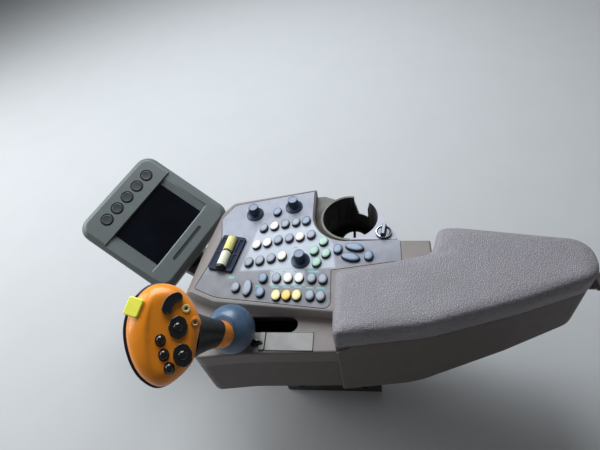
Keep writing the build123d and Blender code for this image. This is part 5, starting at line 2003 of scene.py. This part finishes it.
@dataclass
class Housing:
    """Top housing, tub, card plate and lock lever."""

    shelf_z: float = -20.0
    card_rear: float = -73.0
    card_front: float = -13.0
    card_far: float = 109.0
    card_near: float = 133.0
    card_t: float = 1.4
    strip_w: float = 7.0
    strip_rise: float = 1.0
    lock_x: float = 1.0
    lock_y: float = 123.5
    edge: float = 0.8

    def shells(self, frame: dict) -> None:
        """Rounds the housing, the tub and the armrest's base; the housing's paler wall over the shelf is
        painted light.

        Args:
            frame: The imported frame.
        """
        level = DATUM.z + self.shelf_z + 0.5
        for node, name, finish in (
            ("top_housing", "housing_top", Palette.HOUSING),
            ("lower_shell", "housing_tub", Palette.TUB),
            ("armrest_base", "armrest_bin", Palette.TUB),
        ):
            shell = Workpiece.of_node(frame, node, name).flatten_faces().soften(self.edge, 40.0)
            shell.painted(finish)
            if finish is Palette.HOUSING:
                # Painted light: the housing's faces that look to the driver above the shelf get a paler grey
                shell.painted(Palette.FASCIA_PAINTED_LIGHT, lambda p, n: n.y > 0.3 and p.z > level)
            shell.done(ROW, Body.CONSOLE, "housing_plastic", node)

    def card_plate(self) -> None:
        """Cuts the bare card plate and the hinge strip in front of it."""
        low, high = self.shelf_z, self.shelf_z + self.card_t
        plate = Workpiece.block("shelf_card_plate", (self.card_rear, self.card_far, low),
                                (self.card_front, self.card_near, high))
        plate.round_uprights(1.5, 4)
        plate.soften(0.4, 30.0)
        plate.painted(Palette.PLATE)
        front = self.card_front + 1.0
        strip = Workpiece.block("strip", (front, self.card_far, low),
                                (front + self.strip_w, self.card_near, high + self.strip_rise))
        strip.round_uprights(1.8, 5)
        strip.edges(lambda p, d: p.z > high)
        strip.round_edges(0.6, 3)
        strip.painted(Palette.PLATE)
        # Painted shade: a thin black sheet under the plate's edges shows as a dark line round it
        gap = Workpiece.block("gap", (self.card_rear - 0.6, self.card_far - 0.9, low),
                              (front + self.strip_w + 0.3, self.card_near + 0.3, low + 0.2))
        gap.painted(Palette.SHADE_BLACK)
        both = plate.joined(strip, gap)
        both.done(CONSOLE, Body.CONSOLE, "black_plastic", "card_plate")

    def lock_lever(self) -> None:
        """Turns the small lock's foot and shapes its wing."""
        foot = Workpiece.lathe("shelf_lock_lever", [
            (0.0, 0.0), (5.0, 0.0), (5.0, 1.4), (4.5, 2.2), (3.4, 2.6), (0.0, 2.7)], 32)
        wing = Workpiece.block("wing", (-7.0, -2.5, 2.2), (7.0, 2.5, 3.9))
        wing.round_uprights(2.4, 6)
        wing.edges(lambda p, d: p.z > 3.8)
        wing.round_edges(0.6, 3)
        wing.repeated([Matrix.Translation((-4.0, 0.0, 0.0))])
        both = foot.joined(wing)
        both.painted(Palette.BLACK_GLOSS)
        both.repeated([Matrix.Translation((self.lock_x, self.lock_y, self.shelf_z))])
        both.done(CONSOLE, Body.CONSOLE, "black_plastic", "lock_lever")

    def build(self, frame: dict) -> None:
        """Builds the housing.

        Args:
            frame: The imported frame.
        """
        self.shells(frame)
        self.card_plate()
        self.lock_lever()


@dataclass
class Armrest:
    """Padded armrest on its hinged lid."""

    voxel: float = 4.0
    foot: float = 3.0
    cap: float = 0.7
    pressure: float = 1.5
    last_frame: int = 20
    held_band: float = 6.0

    def pad(self, frame: dict) -> None:
        """Blows the pad up inside its skin.

        Args:
            frame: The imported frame.
        """
        pad = Workpiece.of_node(frame, "armrest_pad", "armrest_padded_top")
        under = max((f for f in pad.obj.data.polygons if f.normal.z < -0.9), key=lambda f: f.area)
        foot_at, foot_up = under.center.copy(), -under.normal
        pad.modify("REMESH", mode="VOXEL", voxel_size=self.voxel)
        self._fill(pad)
        pad.modify("SUBSURF", levels=1, render_levels=1)
        self._square_foot(pad, foot_at, foot_up)
        pad.painted(Palette.SKIN)
        pad.done(ROW, Body.LID, "armrest_skin", "armrest_pad", smooth=80.0)

    def _square_foot(self, pad: Workpiece, foot_at: Vector, foot_up: Vector) -> None:
        """Cuts the pad a little above its foot and draws the cut face straight down to it.

        Args:
            pad: The pad.
            foot_at: Point on its foot.
            foot_up: Direction from the foot into the pad.
        """
        cut_at = foot_at + foot_up * self.foot
        pad.open_all()
        bpy.ops.mesh.bisect(plane_co=cut_at, plane_no=foot_up, clear_inner=True, use_fill=True)
        level = cut_at.dot(foot_up)
        pad.faces(lambda p, n: abs(p.dot(foot_up) - level) < 0.05 and n.dot(foot_up) < -0.9)
        pad.extrude(-foot_up * self.foot)
        bpy.ops.object.mode_set(mode="OBJECT")

    def _fill(self, pad: Workpiece) -> None:
        """Swells the pad with a short cloth simulation, its foot held still.

        Args:
            pad: The pad.
        """
        pad.obj.data.transform(ROW)
        rest = [v.co.copy() for v in pad.obj.data.vertices]
        floor = min(p.z for p in rest)
        held = pad.obj.vertex_groups.new(name="held")
        band = floor + self.held_band * MM
        held.add([i for i, p in enumerate(rest) if p.z < band], 1.0, "REPLACE")
        Workpiece.focus(pad.obj)
        cloth = pad.obj.modifiers.new("Cloth", "CLOTH")
        cloth.settings.use_pressure = True
        cloth.settings.uniform_pressure_force = self.pressure
        cloth.settings.vertex_group_mass = "held"
        cloth.settings.effector_weights.gravity = 0.0
        cloth.point_cache.frame_end = self.last_frame
        scene = bpy.context.scene
        for step in range(1, self.last_frame + 1):
            scene.frame_set(step)
        bpy.ops.object.modifier_apply(modifier=cloth.name)
        limit = self.cap * MM
        for vert, start in zip(pad.obj.data.vertices, rest):
            move = vert.co - start
            if move.length > limit:
                vert.co = start + move * (limit / move.length)
        scene.frame_set(1)
        pad.obj.vertex_groups.clear()
        pad.obj.data.transform(Matrix.Scale(1 / MM, 4))

    def build(self, frame: dict) -> None:
        """Builds the armrest."""
        self.pad(frame)


@dataclass
class Mounting:
    """Seat bracket, display arm, swivel yoke, pins, guide and carriage."""

    def build(self, frame: dict) -> None:
        """Rounds and finishes the steel parts.

        Args:
            frame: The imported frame.
        """
        for node, name, finish, body, slot, width in (
            ("seat_bracket", "bracket_plate", Palette.COATED, Body.CONSOLE, "black_steel", 0.8),
            ("display_arm", "display_post_arm", Palette.COATED, Body.CONSOLE, "black_steel", 1.0),
            ("swivel_yoke", "display_swivel_yoke", Palette.COATED, Body.YOKE, "black_steel", 0.6),
            ("tilt_pin", "display_tilt_pin", Palette.STEEL, Body.YOKE, "steel", 0.6),
            ("lid_plate", "armrest_lid_plate", Palette.TUB, Body.LID, "housing_plastic", 0.5),
            ("lid_hinge_pin", "armrest_hinge_pin", Palette.STEEL, Body.CONSOLE, "steel", 0.5),
            ("lever_guide", "lever_guide_rods", Palette.COATED, Body.CONSOLE, "steel", 0.5),
            ("lever_carriage", "lever_carriage_block", Palette.COATED, Body.LEVER, "steel", 0.6),
            ("lever_shaft", "lever_shaft_bar", Palette.COATED, Body.LEVER, "steel", 0.2),
        ):
            part = Workpiece.of_node(frame, node, name).flatten_faces().soften(width, 40.0)
            part.painted(finish)
            part.done(ROW, body, slot, node)


@dataclass
class Studio:
    """Plain pale floor, soft daylight and the camera at the seat's height."""

    camera_at: Vector = field(default_factory=lambda: Vector((-0.0733, 0.2734, 0.6792)))
    camera_turn: Matrix = field(default_factory=lambda: Matrix((
        (-0.9858, -0.0346, -0.1642), (-0.0815, -0.7569, 0.6485), (-0.1467, 0.6527, 0.7433))))
    lens: float = 27.06
    floor_half: float = 4.0
    floor_drop: float = 0.002
    aim: Vector = field(default_factory=lambda: Vector((0.05, -0.1, 0.15)))
    lamp_size: float = 1.3
    room_colour: Colour = (0.9, 0.92, 0.95)
    room_strength: float = 0.12

    def camera(self) -> None:
        """Places the camera."""
        data = bpy.data.cameras.new("seat_view")
        data.lens = self.lens
        data.sensor_width = 36.0
        data.clip_start = 0.01
        camera = bpy.data.objects.new("seat_view", data)
        camera.matrix_world = Matrix.Translation(self.camera_at) @ self.camera_turn.to_4x4()
        bpy.context.scene.collection.objects.link(camera)
        bpy.context.scene.camera = camera

    def floor(self) -> None:
        """Lays the floor just under the part."""
        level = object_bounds()[0][2] - self.floor_drop
        Workpiece.focus()
        bpy.ops.mesh.primitive_plane_add(size=2 * self.floor_half, location=(0.0, 0.0, level))
        floor = bpy.context.active_object
        floor.name = "studio_floor"
        sheet = Sheet("studio_floor_pale")
        speck = sheet.noise(80.0, 3.0)
        pale = sheet.blend(speck, (0.44, 0.44, 0.44), (0.47, 0.47, 0.47))
        sheet.coloured(pale)
        sheet.fixed(roughness=0.8)
        floor.data.materials.append(sheet.material)
        floor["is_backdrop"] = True

    def lamp(self, name: str, at: Sequence[float], power: float, colour: Colour) -> None:
        """Hangs one square soft light that faces the console.

        Args:
            name: Name of the light.
            at: Its place.
            power: Its power in watts.
            colour: Its colour.
        """
        data = bpy.data.lights.new(name, "AREA")
        data.shape = "SQUARE"
        data.size = self.lamp_size
        data.energy = power
        data.color = colour
        light = bpy.data.objects.new(name, data)
        aim = (self.aim - Vector(at)).to_track_quat("-Z", "Y").to_matrix().to_4x4()
        light.matrix_world = Matrix.Translation(at) @ aim
        bpy.context.scene.collection.objects.link(light)

    def lights(self) -> None:
        """Lights the console from the windscreen's side and the far side."""
        self.lamp("windscreen", (1.5, -0.3, 0.9), 22.0, (0.93, 0.97, 1.0))
        self.lamp("side_window", (0.35, -1.1, 1.5), 40.0, (0.87, 0.94, 1.0))
        world = bpy.data.worlds.new("pale_room")
        world.use_nodes = True
        bpy.context.scene.world = world
        background = world.node_tree.nodes["Background"]
        background.inputs["Color"].default_value = (*self.room_colour, 1.0)
        background.inputs["Strength"].default_value = self.room_strength

    def build(self) -> None:
        """Sets the studio up."""
        self.floor()
        self.lights()
        self.camera()
        bpy.context.scene.view_settings.view_transform = "Standard"


def corners(box: tuple) -> list[list[float]]:
    """A box as plain lists of numbers."""
    return [[float(v) for v in corner] for corner in box]


def main() -> None:
    """Builds every sub-assembly in order."""
    logging.basicConfig(level=logging.INFO, format="%(name)s: %(message)s")
    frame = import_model()
    Studio().build()
    Display().build(frame)
    Keypad().build(frame)
    PaddleSwitches().build()
    CupHolder().build()
    Grip().build()
    Housing().build(frame)
    Armrest().build(frame)
    Mounting().build(frame)
    Workpiece.focus()


if __name__ == "__main__":
    main()
